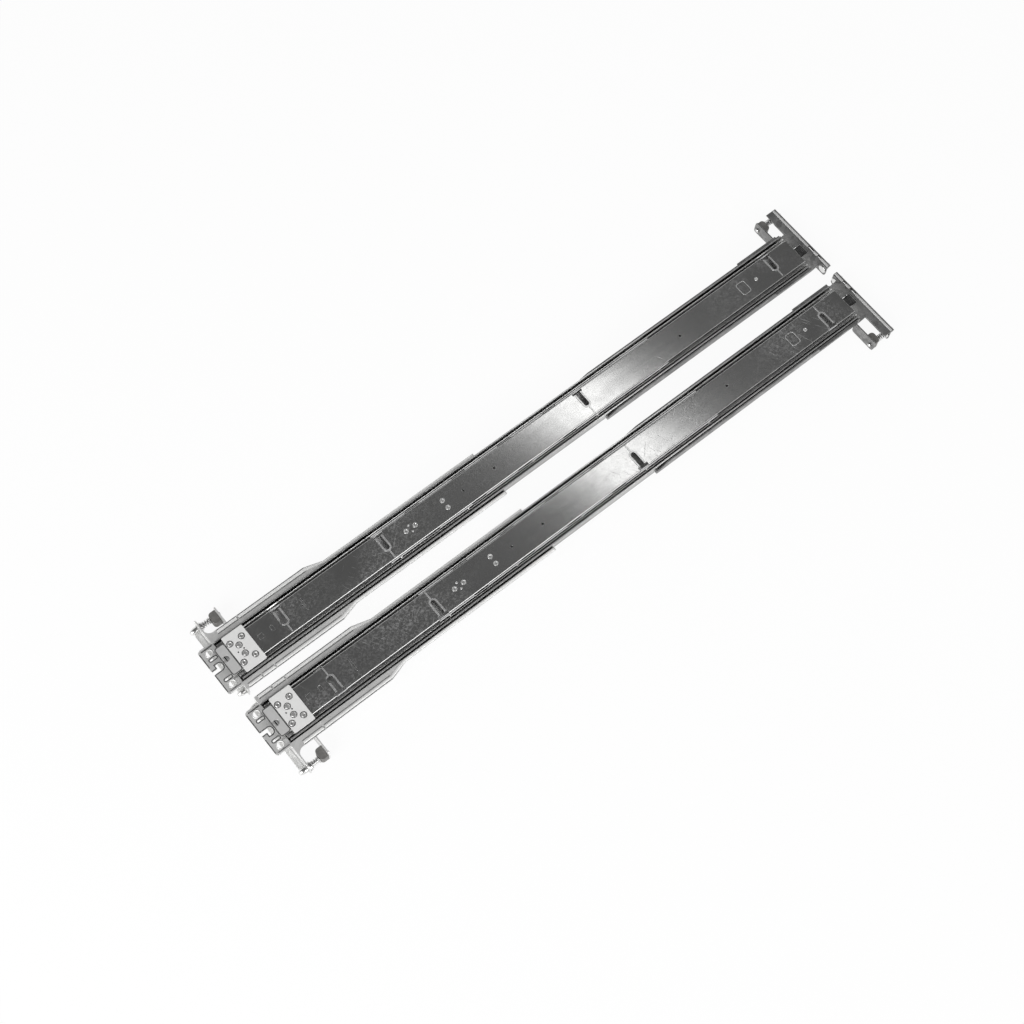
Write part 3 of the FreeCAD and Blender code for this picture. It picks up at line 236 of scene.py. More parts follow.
def times(tree, first, second):
    """The product of two values."""
    return arithmetic(tree, "MULTIPLY", first, second)


def largest(tree, values):
    """The largest of several values."""
    total = values[0]
    for value in values[1:]:
        total = arithmetic(tree, "MAXIMUM", total, value)
    return total


print("helpers: connect, add_node, remap, arithmetic, plus, less, times, largest")

# %% [markdown]
# The room is a pale horizon under a dark ceiling: the horizon draws the bright lines along the
# rolled edges, and the dark ceiling keeps the flat faces deep.

# %% The room
WHITE = (1.0, 1.0, 1.0, 1.0)
HORIZON = 1.0
CEILING = 0.15
PALE_UP_TO = 0.28                        # sine of the height where the pale wall ends
DARK_FROM = 0.60

room = bpy.data.worlds.new("room")
bpy.context.scene.world = room
room.use_nodes = True
tree = room.node_tree
direction = add_node(tree, "ShaderNodeTexCoord").outputs["Generated"]
rise = add_node(tree, "ShaderNodeSeparateXYZ", Vector=direction).outputs["Z"]
shade = remap(tree, rise, PALE_UP_TO, DARK_FROM, HORIZON, CEILING, "SMOOTHSTEP")
connect(tree, tree.nodes["Background"].inputs["Strength"], shade)
connect(tree, tree.nodes["Background"].inputs["Color"], WHITE)
bpy.context.scene.view_settings.view_transform = "Standard"
print("the room goes from", HORIZON, "at the horizon to", CEILING, "overhead")

# %% [markdown]
# The photograph has a pure white ground. The floor is a plain pale sheet. Seen directly or in
# a mirror it also glows a little, so that it reads as white without more light on the metal,
# and its own share of real light keeps the rails' soft shadow.

# %% Floor
FLOOR_REACH = 30.0
FLOOR_DEPTH = 0.05 * MM                  # below the rails
FLOOR_GLOW = 0.93                        # share of the floor's white that is its own glow
PAPER = (0.96, 0.96, 0.96, 1.0)

corners = np.array([(-1, -1), (1, -1), (1, 1), (-1, 1)], float) * FLOOR_REACH
sheet = bpy.data.meshes.new("floor")
sheet.from_pydata([(x, y, -FLOOR_DEPTH) for x, y in corners], [], [(0, 1, 2, 3)])
floor = bpy.data.objects.new("floor", sheet)
bpy.context.scene.collection.objects.link(floor)

paper = bpy.data.materials.new("white_paper")
paper.use_nodes = True
tree = paper.node_tree
tree.nodes.clear()
rays = add_node(tree, "ShaderNodeLightPath").outputs
seen = largest(tree, [rays[f"Is {kind} Ray"] for kind in ("Camera", "Glossy", "Transmission")])
lit = add_node(tree, "ShaderNodeBsdfDiffuse", Color=PAPER)
glow = add_node(tree, "ShaderNodeEmission", Color=WHITE)
mix = add_node(tree, "ShaderNodeMixShader")
glowing = times(tree, seen, FLOOR_GLOW)
for socket, value in zip(mix.inputs, (glowing, lit.outputs[0], glow.outputs[0])):
    connect(tree, socket, value)
add_node(tree, "ShaderNodeOutputMaterial", Surface=mix.outputs[0])
sheet.materials.append(paper)
print("the floor is", FLOOR_REACH * 2, "m wide")

# %% [markdown]
# ## Finishes
#
# All patterns read Object coordinates, which are metres in the frame of the whole product, so a
# pattern flows over neighbouring pieces as it does on sheet cut from one coil. Five more
# helpers make patterns: they stretch and turn the coordinates, pick one of the three, make
# noise, give each cell of a pattern a tone of its own, and blend two colours.

# %% Pattern helpers

def stretched(tree, place, scale, turn=0.0):
    """Object coordinates turned about Z and then multiplied by a scale along each axis.

    A texture mapping turns first and divides by its scale, so it takes one over each number."""
    turned_place = add_node(
        tree,
        "ShaderNodeMapping",
        {"vector_type": "TEXTURE"},
        Vector=place,
        Rotation=(0, 0, turn),
        Scale=tuple(1 / number for number in scale),
    )
    return turned_place.outputs[0]


def noise(tree, place, scale, detail=2.0, distortion=0.0):
    """Smooth noise between 0 and 1, with features about 1 / scale metres wide."""
    made = add_node(
        tree,
        "ShaderNodeTexNoise",
        Vector=place,
        Scale=scale,
        Detail=detail,
        Distortion=distortion,
    )
    return made.outputs[0]


def mixed_colour(tree, share, first, second):
    """The first colour where the share is 0 and the second where it is 1."""
    made = add_node(tree, "ShaderNodeMix", {"data_type": "RGBA"})
    connect(tree, made.inputs[0], share)
    connect(tree, made.inputs[6], first)
    connect(tree, made.inputs[7], second)
    return made.outputs[2]


def coordinate(tree, vector, letter):
    """One coordinate of a vector."""
    return add_node(tree, "ShaderNodeSeparateXYZ", Vector=vector).outputs[letter]


def random_tone(tree, cells):
    """A random number for each cell of a Voronoi texture."""
    return add_node(tree, "ShaderNodeSeparateColor", Color=cells.outputs["Color"]).outputs[0]


print("helpers: stretched, noise, mixed_colour, coordinate, random_tone")

# %% [markdown]
# Six things make sheet steel look real at this scale. Rolling leaves faint lines along the
# strip, and faint steps across it. Handling leaves fine scratches in a few directions. Corners
# are darkened as painted shade. Oil and fingers leave dull mottled patches. Chosen level faces
# are painted pale as painted light, and on raised places also as rubbing. And every edge is
# slightly round and worn, so it catches the light as a thin bright line, and its paler colour
# there is partly wear and partly a painted highlight. Blender's Bevel node rounds the shading
# of an edge without touching the mesh, and where the rounded normal departs from the flat one
# is also where the wear and the painted highlight belong.

# %% Marks on sheet metal
EDGE_ROUNDING = 0.30 * MM
SCRATCH_TURNS = (0.75, -1.2, 2.1)        # directions of the scratches, in radians
SCRATCH_RARITY = 0.70                    # noise above this level is a scratch
SCRATCH_STRETCH = (45, 1100, 1100)       # one over a scratch's length and width, in metres
LEVEL_BLUR = 0.05 * MM                   # over which a band of heights fades out
DULL_REAR = (-200 * MM, -90 * MM)        # along X, from dull to clear
DULL_FRONT = (220 * MM, 290 * MM)        # along X, from clear to dull


def scratches(tree, place):
    """Thin broken lines in a few directions: noise stretched along each, cut off high up."""
    lines = []
    for turn in SCRATCH_TURNS:
        line = noise(tree, stretched(tree, place, SCRATCH_STRETCH, turn), 1.0, 1.0, 0.3)
        lines.append(remap(tree, line, SCRATCH_RARITY, SCRATCH_RARITY + 0.03))
    where = remap(tree, noise(tree, place, 11.0, 1.0), 0.54, 0.66)
    return times(tree, largest(tree, lines), where)


def crevices(tree, reach):
    """1 deep in a corner between surfaces and 0 in the open, within a reach."""
    shaded = add_node(tree, "ShaderNodeAmbientOcclusion", {"samples": 6}, Distance=reach)
    return remap(tree, shaded.outputs["AO"], 0.80, 0.30)


def frost(tree, place):
    """Dull mottled patches towards both ends of a rail.

    Fine noise shows only inside a coarse noise's hills, and fades out along X where the
    softbox is mirrored."""
    fine = remap(tree, noise(tree, place, 420.0, 6.0, 1.0), 0.44, 0.66)
    where = remap(tree, noise(tree, place, 13.0, 2.0, 0.4), 0.40, 0.62)
    along = coordinate(tree, place, "X")
    rear = remap(tree, along, *DULL_REAR, 1.0, 0.0)
    front = remap(tree, along, *DULL_FRONT)
    return times(tree, fine, times(tree, where, largest(tree, [rear, front])))


def roller_marks(tree, place):
    """Faint steps across the strip: a random tone for each stretch along X."""
    along = coordinate(tree, place, "X")
    cells = add_node(
        tree, "ShaderNodeTexVoronoi", {"voronoi_dimensions": "1D"}, W=along, Scale=17.0
    )
    return random_tone(tree, cells)


def level_between(tree, place, low, high):
    """1 on level faces whose height lies between two levels."""
    height = coordinate(tree, place, "Z")
    above = remap(tree, height, low, low + LEVEL_BLUR)
    below = remap(tree, height, high, high + LEVEL_BLUR, 1.0, 0.0)
    normal = add_node(tree, "ShaderNodeNewGeometry").outputs["Normal"]
    # Only faces that point up count, as these are painted pale as if lit from above.
    level = remap(tree, coordinate(tree, normal, "Z"), 0.8, 0.95)
    return times(tree, times(tree, above, below), level)


def rounded_edges(tree):
    """A normal rounded at edges, and its agreement with the flat one: 1 away from any edge."""
    rounded = add_node(tree, "ShaderNodeBevel", {"samples": 4}, Radius=EDGE_ROUNDING).outputs[0]
    flat = add_node(tree, "ShaderNodeNewGeometry").outputs["Normal"]
    facing = add_node(tree, "ShaderNodeVectorMath", {"operation": "DOT_PRODUCT"})
    connect(tree, facing.inputs[0], rounded)
    connect(tree, facing.inputs[1], flat)
    return rounded, facing.outputs["Value"]


print("marks: scratches, crevices, frost, roller marks, rubbed levels, edges")

# %% [markdown]
# Every finish starts from a new material with its coordinates and ends in the same shader. Its
# relief is far too fine for a mesh, so a Bump node tilts the rounded normal instead.

# %% What all finishes share
RELIEF = 0.02 * MM                       # height of the bumps


def colour(number, tint=(1.0, 1.0, 1.0)):
    """A grey with a slight tint, as a colour with alpha."""
    return tuple(number * part for part in tint) + (1.0,)


def new_finish(name):
    """A material with its node tree, and the Object coordinates in that tree."""
    finish = bpy.data.materials.new(name)
    finish.use_nodes = True
    tree = finish.node_tree
    return finish, tree, add_node(tree, "ShaderNodeTexCoord").outputs["Object"]


def coat(tree, base, gloss, metalness, height, strength, normal):
    """Gives the shader its colour, its roughness, its share of metal and its relief."""
    relief = add_node(
        tree,
        "ShaderNodeBump",
        Strength=strength,
        Distance=RELIEF,
        Height=height,
        Normal=normal,
    )
    surface = tree.nodes["Principled BSDF"]
    connect(tree, surface.inputs["Base Color"], base)
    connect(tree, surface.inputs["Roughness"], gloss)
    connect(tree, surface.inputs["Metallic"], metalness)
    connect(tree, surface.inputs["Normal"], relief.outputs[0])


print("a finish begins with new_finish and ends with coat")

# %% [markdown]
# One function makes every metal, because they differ only in numbers. It starts from a tone
# that is clouds and rolling lines, with crystals called spangle on galvanised sheet. The marks
# are then laid over it one by one, and each mark can take away some metal and some gloss.

# %% Plated and bare metal
NEUTRAL = (1.0, 1.0, 0.99)
WARM = (1.02, 1.0, 0.96)
ROLLING_STRETCH = (9, 1300, 1300)
CRYSTALS = 230.0                         # spangle cells in a metre
GRAIN = 2600.0                           # grains in a metre
CREVICE_REACH = 2.4 * MM


def metal(
    name,
    pale,
    deep,
    tint=NEUTRAL,
    roughness=(0.22, 0.34),
    metallic=1.0,
    rolled=0.2,
    clouds=24.0,
    spangle=0.0,
    scratched=0.5,
    worn_and_highlit=0.6,
    grain=0.25,
    frosted=0.0,
    painted_crevice_shade=0.75,
    rubbed_and_lit=(),
):
    """A procedural metal between a pale and a deep grey.

    Tone is clouds plus rolling lines plus spangle, paler in scratches, at edges (wear and a
    painted highlight), in frost and on chosen level faces (painted light, and rubbing where they
    are raised), and darker in crevices as painted shade. Roughness follows the clouds and the
    marks. Height is the rolling lines plus the fine grain, less the scratches. Each painted pale
    level is its lowest and highest height and how much of it is painted pale."""
    finish, tree, place = new_finish(name)
    cloud = remap(tree, noise(tree, place, clouds, 4.0, 0.6), 0.3, 0.7)
    lines = noise(tree, stretched(tree, place, ROLLING_STRETCH), 1.0, 3.0)
    fine = noise(tree, place, GRAIN, 2.0)
    streaks = 0.45 * rolled
    tone = plus(
        tree,
        times(tree, cloud, 1.0 - streaks),
        times(tree, remap(tree, lines, 0.3, 0.7), streaks),
    )
    if spangle:
        cells = add_node(tree, "ShaderNodeTexVoronoi", Vector=place, Scale=CRYSTALS)
        tone = plus(tree, tone, remap(tree, random_tone(tree, cells), 0, 1, -spangle, spangle))
    if rolled:
        half = 0.5 * rolled
        tone = plus(tree, tone, remap(tree, roller_marks(tree, place), 0, 1, -half, half))
    height = plus(tree, times(tree, lines, rolled), times(tree, fine, grain))
    rounded, agreement = rounded_edges(tree)

    marks = []                           # each: mask, colour, metal lost, gloss lost
    if scratched:
        mask = times(tree, scratches(tree, place), scratched)
        marks.append((mask, colour(min(pale * 1.25, 0.95), tint), 0.6, 0.15))
        height = less(tree, height, mask)
    # Painted highlight, partly real wear: edges are paler where the rounded normal departs from
    # the flat one.
    if worn_and_highlit:
        mask = remap(tree, agreement, 0.995, 0.90, 0.0, worn_and_highlit)
        marks.append((mask, colour(min(pale * 1.3, 0.96)), 0.0, 0.0))
    if frosted:
        mask = times(tree, frost(tree, place), frosted)
        marks.append((mask, colour(min(pale * 1.2, 0.9)), 0.3, 0.12))
    # Painted light: upward level faces between given heights are painted pale as if lit; on raised
    # lips and stamped marks this is also rubbing.
    if rubbed_and_lit:
        mask = largest(
            tree,
            [
                times(tree, level_between(tree, place, low, high), share)
                for low, high, share in rubbed_and_lit
            ],
        )
        marks.append((mask, colour(0.90), 0.7, 0.25))

    base = mixed_colour(tree, tone, colour(deep, tint), colour(pale, tint))
    smooth, rough = roughness
    gloss = remap(tree, cloud, 0.0, 1.0, rough, smooth)
    gloss = plus(tree, gloss, remap(tree, fine, 0.35, 0.65, -0.03, 0.03))
    metalness = metallic
    for mask, shade, metal_lost, gloss_lost in marks:
        base = mixed_colour(tree, mask, base, shade)
        if metal_lost:
            metalness = less(tree, metalness, times(tree, mask, metal_lost))
            gloss = plus(tree, gloss, times(tree, mask, gloss_lost))
    # Painted shade: the base colour is darkened towards near black where ambient occlusion finds a
    # corner.
    if painted_crevice_shade:
        crevice_shade_mask = times(tree, crevices(tree, CREVICE_REACH), painted_crevice_shade)
        base = mixed_colour(tree, crevice_shade_mask, base, colour(deep * 0.12))
    coat(tree, base, gloss, metalness, height, 0.35, rounded)
    return finish


print("a metal starts with", GRAIN, "grains a metre and rounds its edges over", EDGE_ROUNDING)

# %% [markdown]
# The rolled members are nearly mirrors, the brackets are dull galvanised sheet, and the rear
# link plate is the palest of all. Some level faces that point up are painted paler than the
# rest of their piece as painted light, and on the raised lips and stamped marks also as
# rubbing: the lips of the outer and the middle member, the middle one's web, the cages, the
# stamped marks and the mouths of the slots. Their heights are given as levels that are painted
# pale.

# %% The metals of this product
SERVER_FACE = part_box("right_link_plate")[0].z
MOUTH_FLOOR = SERVER_FACE - 1.8 * MM     # of the slots' mouths
OUTER_LIPS = (22.0 * MM, 25.4 * MM)
MIDDLE_WEB = (14.0 * MM, 18.4 * MM)
MIDDLE_LIPS = (18.5 * MM, 25.4 * MM)
CAGES = (14.0 * MM, 25.0 * MM)
STAMPED_MARKS = (SERVER_FACE + 0.10 * MM, SERVER_FACE + 0.40 * MM)
SLOT_MOUTHS = (MOUTH_FLOOR - 0.3 * MM, MOUTH_FLOOR + 0.2 * MM)

finishes = {
    "member_steel": metal(
        "outer_member_zinc",
        0.50,
        0.36,
        roughness=(0.16, 0.24),
        painted_crevice_shade=0.45,
        rubbed_and_lit=[(*OUTER_LIPS, 0.25)],
    ),
    "middle_steel": metal(
        "middle_member_zinc",
        0.72,
        0.58,
        roughness=(0.26, 0.36),
        rubbed_and_lit=[(*MIDDLE_WEB, 0.5), (*MIDDLE_LIPS, 0.4)],
        painted_crevice_shade=0.25,
    ),
    "inner_steel": metal(
        "inner_member_zinc",
        0.49,
        0.44,
        roughness=(0.145, 0.165),
        rolled=0.10,
        scratched=0.45,
        clouds=85.0,
        frosted=0.75,
        painted_crevice_shade=0.5,
        rubbed_and_lit=[(*STAMPED_MARKS, 0.38), (*SLOT_MOUTHS, 0.8)],
    ),
    "bracket_steel": metal(
        "galvanised_rear_bracket",
        0.84,
        0.68,
        roughness=(0.34, 0.46),
        metallic=0.55,
        rolled=0.15,
        spangle=0.25,
        scratched=0.4,
        painted_crevice_shade=0.9,
    ),
    "link_steel": metal(
        "pale_link_plate",
        0.94,
        0.86,
        roughness=(0.42, 0.56),
        metallic=0.30,
        rolled=0.1,
        spangle=0.15,
        scratched=0.3,
        painted_crevice_shade=0.9,
    ),
    "cage_steel": metal(
        "cage_strip",
        0.70,
        0.56,
        roughness=(0.20, 0.30),
        rolled=0.4,
        painted_crevice_shade=0.1,
        rubbed_and_lit=[(*CAGES, 0.8)],
    ),
    "ball_steel": metal(
        "ball_chrome", 0.82, 0.78, roughness=(0.06, 0.10), rolled=0.0, scratched=0.0, worn_and_highlit=0.0
    ),
    "stud_steel": metal(
        "turned_stud_steel", 0.80, 0.68, roughness=(0.16, 0.24), rolled=0.1, clouds=90.0
    ),
    "guide_zinc": metal(
        "die_cast_guide",
        0.26,
        0.17,
        tint=WARM,
        roughness=(0.40, 0.55),
        metallic=0.5,
        rolled=0.0,
        clouds=120.0,
        grain=1.0,
    ),
    "rivet_steel": metal(
        "rivet_zinc", 0.82, 0.68, roughness=(0.20, 0.30), metallic=0.8, clouds=160.0
    ),
    "spring_steel": metal(
        "spring_wire", 0.84, 0.72, roughness=(0.30, 0.40), metallic=0.6, rolled=0.0, painted_crevice_shade=0.0
    ),
}
print(len(finishes), "metal finishes")

# %% [markdown]
# Three finishes belong to single pieces. The front brackets are darker than the rear ones, with
# bolder spangle. The tongue beside the link plate is duller zinc. And a nearly black metal
# paints the shade that falls along the seams and in the bends.

# %% Metals of single pieces
# Painted shade: this nearly black metal stands for the shade in seams, bends and round rivet
# heads.
painted_shade_seam = metal(
    "painted_shade_seam", 0.12, 0.07, roughness=(0.5, 0.6), metallic=0.2, rolled=0.0, clouds=300.0
)
front_galvanised = metal(
    "galvanised_front_bracket",
    0.27,
    0.16,
    roughness=(0.32, 0.44),
    metallic=0.7,
    rolled=0.1,
    spangle=0.55,
    scratched=0.4,
    painted_crevice_shade=0.9,
)
tongue_zinc = metal(
    "tongue_zinc", 0.70, 0.60, roughness=(0.38, 0.50), metallic=0.4, spangle=0.15, painted_crevice_shade=0.9
)
own_finish = {}                          # where a node differs from the rest of its slot
for rail in RAILS:
    own_finish[f"{rail}_front_bracket"] = front_galvanised
    own_finish[f"{rail}_tongue"] = tongue_zinc
print(len(own_finish), "nodes take a finish of their own")

# %% [markdown]
# The latch is black: a thin conversion coat that rubs through to grey along its edges and is a
# little mottled on the flat. The grey along the edges is partly wear and partly a painted
# highlight. It isn't a mirror, so it takes its own short graph.

# %% Black latch coating

def black_coat(name, dark, bare):
    """A satin black with mottled roughness, grey along its edges as wear and as a painted
    highlight.
    """
    finish, tree, place = new_finish(name)
    mottle = noise(tree, place, 300.0, 4.0)
    rounded, agreement = rounded_edges(tree)
    edge = remap(tree, agreement, 0.99, 0.88)
    worn_and_highlit = times(tree, edge, remap(tree, mottle, 0.42, 0.6, 0.15, 0.8))
    base = mixed_colour(tree, remap(tree, mottle, 0.3, 0.7), colour(dark), colour(dark * 1.8))
    base = mixed_colour(tree, worn_and_highlit, base, colour(bare))
    gloss = remap(tree, mottle, 0.3, 0.7, 0.34, 0.50)
    coat(tree, base, gloss, 0.0, noise(tree, place, 3500.0, 2.0), 0.3, rounded)
    return finish


finishes["latch_black"] = black_coat("black_latch_coat", 0.022, 0.24)
worn_black = black_coat("worn_black_ribs", 0.09, 0.40)
print("two black coats")

# %% [markdown]
# The product's record says which finish each solid takes. A CAD mesh is many loose triangles,
# so a Weld modifier joins them and an Edge Split keeps the creases, and then smooth shading
# turns a faceted bend into a round one. The mesh itself is never edited.

# %% Dressing the CAD solids
CREASE = math.radians(28)
WELD_REACH = 0.002 * MM

for part in frame["record"]["subparts"]:
    solid = nodes[part["node"]]
    solid.data.materials.clear()
    slot = part["material_slot"]
    solid.data.materials.append(own_finish.get(part["node"], finishes[slot]))
    solid.data.polygons.foreach_set("use_smooth", [True] * len(solid.data.polygons))
    weld = solid.modifiers.new("weld", "WELD")
    weld.merge_threshold = WELD_REACH
    crease = solid.modifiers.new("crease", "EDGE_SPLIT")
    crease.split_angle = CREASE

# %% [markdown]
# ## Smooth surfaces from numpy
#
# Studs, rivets and pins are turned on a lathe, so each is a profile spun round an axis. Springs,
# leaves and ribs are a small outline carried along a path. Two functions cover them all. Each
# works out every point at once as an array, and returns points and faces for one object.

# %% Turned pieces
SIDES = 40
AXES = {"x": [2, 0, 1], "y": [1, 2, 0], "z": [0, 1, 2]}


def turned(profile, centres, axis, sides=SIDES):
    """Points and faces of equal pieces turned round an axis.

    A profile step is (height, radius). The point at height h, radius r and angle a is
    (r cos a, r sin a, h), with its coordinates then cycled so that h runs along the axis.
    The first and last radius are 0: single points that close the piece."""
    heights, radii = np.array(profile, float).T
    angle = np.linspace(0, 2 * np.pi, sides, endpoint=False)
    rings = np.stack(
        [
            np.outer(radii[1:-1], np.cos(angle)),
            np.outer(radii[1:-1], np.sin(angle)),
            np.outer(heights[1:-1], np.ones(sides)),
        ],
        axis=-1,
    ).reshape(-1, 3)
    points = np.concatenate([[[0, 0, heights[0]]], rings, [[0, 0, heights[-1]]]])
    points = points[:, AXES[axis]]

    here = np.arange(sides)
    following = (here + 1) % sides
    starts = 1 + sides * np.arange(len(heights) - 3)[:, None]
    quads = np.stack(
        [starts + here, starts + following, starts + sides + following, starts + sides + here],
        axis=-1,
    ).reshape(-1, 4)
    last = len(points) - 1
    fan = np.zeros(sides, int)
    near = np.stack([fan, following + 1, here + 1], axis=-1)
    far = np.stack([fan + last, last - sides + here, last - sides + following], axis=-1)
    triangles = np.concatenate([near, far])

    shift = len(points) * np.arange(len(centres))[:, None, None]
    everywhere = (points[None] + np.array(centres, float)[:, None]).reshape(-1, 3)
    faces = (quads[None] + shift).reshape(-1, 4).tolist()
    return everywhere, faces + (triangles[None] + shift).reshape(-1, 3).tolist()


def make_piece(name, surface, body, slot, replaced=(), finish=None):
    """Puts points and faces into an object with outward faces, a finish and a body to ride on."""
    points, faces = surface
    mesh = bpy.data.meshes.new(name)
    mesh.from_pydata(points.tolist(), [], faces)
    shell = bmesh.new()
    shell.from_mesh(mesh)
    bmesh.ops.recalc_face_normals(shell, faces=shell.faces)
    shell.to_mesh(mesh)
    shell.free()
    mesh.polygons.foreach_set("use_smooth", [True] * len(mesh.polygons))
    mesh.set_sharp_from_angle(angle=CREASE)
    mesh.materials.append(finish or finishes[slot])
    piece = bpy.data.objects.new(name, mesh)
    bpy.context.scene.collection.objects.link(piece)
    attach(piece, body)
    if replaced:
        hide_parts(*replaced)
    return piece


print("a turned piece has", SIDES, "sides")

# %% [markdown]
# A carried outline needs two directions at every step of its path: one across and one up. The
# outline's own two coordinates are measured along them. An open path gets flat ends, and a
# closed one joins up with itself.

# %% Carried outlines

def carried(path, across, up, outline, closed=False):
    """Points and faces of an outline carried along a path.

    Point (i, k) is path_i + a_k across_i + b_k up_i, where (a_k, b_k) is the outline."""
    outline = np.array(outline, float)
    count, corners = len(path), len(outline)
    points = (
        path[:, None]
        + outline[None, :, :1] * across[:, None]
        + outline[None, :, 1:] * up[:, None]
    ).reshape(-1, 3)
    here = np.arange(corners)
    following = (here + 1) % corners
    steps = np.arange(count if closed else count - 1)[:, None]
    start, end = steps * corners, ((steps + 1) % count) * corners
    faces = np.stack(
        [start + here, start + following, end + following, end + here], axis=-1
    ).reshape(-1, 4).tolist()
    if not closed:
        faces += [list(range(corners)), list(range(len(points) - corners, len(points)))]
    return points, faces


def joined(surfaces):
    """Several surfaces as one, with each one's face numbers moved past the points before it."""
    points, faces, count = [], [], 0
    for some_points, some_faces in surfaces:
        points.append(some_points)
        faces += [[number + count for number in face] for face in some_faces]
        count += len(some_points)
    return np.concatenate(points), faces


def circle_path(centre, radius, steps=48):
    """A level circle, with its outward and upward directions."""
    angle = np.linspace(0, 2 * np.pi, steps, endpoint=False)
    outwards = np.stack([np.cos(angle), np.sin(angle), angle * 0], axis=-1)
    return np.array(centre) + radius * outwards, outwards, np.tile([0.0, 0, 1], (steps, 1))


def half_round(width, rise):
    """A low rounded ridge as an outline, sunk a little into what it stands on."""
    angle = np.linspace(0, np.pi, 9)
    ridge = np.stack([width / 2 * np.cos(angle), rise * np.sin(angle)], axis=-1).tolist()
    return ridge + [(-width / 2, -0.1 * MM), (width / 2, -0.1 * MM)]


def directions(path):
    """The direction of a path at each of its points."""
    along = np.gradient(path, axis=0)
    return along / np.linalg.norm(along, axis=1, keepdims=True)


def ring_outline(radius, sides):
    """A circle as an outline."""
    angle = np.linspace(0, 2 * np.pi, sides, endpoint=False)
    return np.stack([radius * np.cos(angle), radius * np.sin(angle)], axis=-1)


print("a ridge's outline has", len(half_round(1.0, 1.0)), "corners")

# %% [markdown]
# ## Studs
#
# Each flange has two studs, as far apart as the first and last hole of two rack units. The
# fixed one is riveted in. The sprung one slides: it is thicker inside its flange, its collar
# stops it there, and its thin tail runs through a guide block on the ear. Both are turned from
# bar, so a lathe profile with small chamfers and a shallow groove behind the nose says it all.

# %% Turning the studs
STUD_RADIUS = 3.4 * MM
SEATED_RADIUS = 3.7 * MM                 # inside the flange
HEAD_RADIUS = 4.5 * MM
COLLAR_RADIUS = 4.7 * MM
TAIL_RADIUS = 2.0 * MM
SHANK = 2.4 * MM                         # straight part in front of the flange
FLANGE = 1.4 * MM                        # thickness of the bracket's sheet
CHAMFER = 0.25 * MM
STEP = 0.02 * MM                         # length of a step from one radius to the next


def stud_nose(reach):
    """The tip common to both studs: a bullet nose that finds the rack's hole, and a shank.

    The nose is a quarter of an ellipse, longer than it is wide, down to a small flat."""
    bend = np.linspace(0.16, np.pi / 2, 10)
    length = reach - SHANK
    bullet = np.stack([SHANK + length * np.cos(bend), STUD_RADIUS * np.sin(bend)], axis=-1)
    bullet[:, 0] += reach - bullet[0, 0]
    bullet[-1, 0] = SHANK
    return [(reach, 0), *bullet.tolist(), (0.0, STUD_RADIUS)]


def fixed_stud_profile(reach, head_end):
    """A fixed stud: nose, seat in the flange, and a domed head behind it."""
    head = FLANGE + head_end
    return stud_nose(reach) + [
        (-STEP, SEATED_RADIUS),
        (-FLANGE, SEATED_RADIUS),
        (-FLANGE - STEP, HEAD_RADIUS - CHAMFER / 2),
        (-FLANGE - CHAMFER, HEAD_RADIUS),
        (-head + 2 * CHAMFER, HEAD_RADIUS - CHAMFER / 2),
        (-head + CHAMFER / 2, HEAD_RADIUS * 0.8),
        (-head, HEAD_RADIUS * 0.45),
        (-head, 0),
    ]


def sprung_stud_profile(reach, collar, collar_end, tail):
    """A sprung stud: nose, seat, collar with chamfered rims, and a long thin tail."""
    return stud_nose(reach) + [
        (-STEP, SEATED_RADIUS),
        (-collar, SEATED_RADIUS),
        (-collar - STEP, COLLAR_RADIUS - CHAMFER),
        (-collar - CHAMFER, COLLAR_RADIUS),
        (-collar_end + CHAMFER, COLLAR_RADIUS),
        (-collar_end, COLLAR_RADIUS - CHAMFER),
        (-collar_end - STEP, TAIL_RADIUS),
        (-tail + 2 * CHAMFER, TAIL_RADIUS),
        (-tail, TAIL_RADIUS - 2 * CHAMFER),
        (-tail, 0),
    ]


STUD_REACH = 9.0 * MM
COLLAR_START = FLANGE + 0.3 * MM
COLLAR_LENGTH = 2.5 * MM
for rail in RAILS:
    for end, outward in ENDS.items():
        for kind in ("fixed", "sprung"):
            node = f"{rail}_{end}_{kind}_stud"
            low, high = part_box(node)
            tip = high.x if outward > 0 else low.x
            length = high.x - low.x
            face = Vector((tip - STUD_REACH * outward, (low.y + high.y) / 2, (low.z + high.z) / 2))
            if kind == "fixed":
                profile = fixed_stud_profile(STUD_REACH, length - STUD_REACH - FLANGE)
                body = "fixed_rails" if end == "front" else f"{rail}_rear_bracket"
            else:
                profile = sprung_stud_profile(
                    STUD_REACH, COLLAR_START, COLLAR_START + COLLAR_LENGTH, length - STUD_REACH
                )
                body = f"{rail}_{end}_stud"
            profile = [(height * outward, radius) for height, radius in profile]
            make_piece(f"{node}_turned", turned(profile, [face], "x"), body, "stud_steel", [node])
print("turned 8 studs")

# %% [markdown]
# ## Coil springs
#
# The coil lies between the stud's collar and its guide. A real compression spring has closed
# ends: the wire flattens into its last turn so that the end sits square. The height along the
# axis therefore doesn't grow evenly with the angle, but slowly at both ends.

# %% Winding the coils
COIL_TURNS = 6
WIRE_RADIUS = 0.4 * MM
STEPS_A_TURN = 28


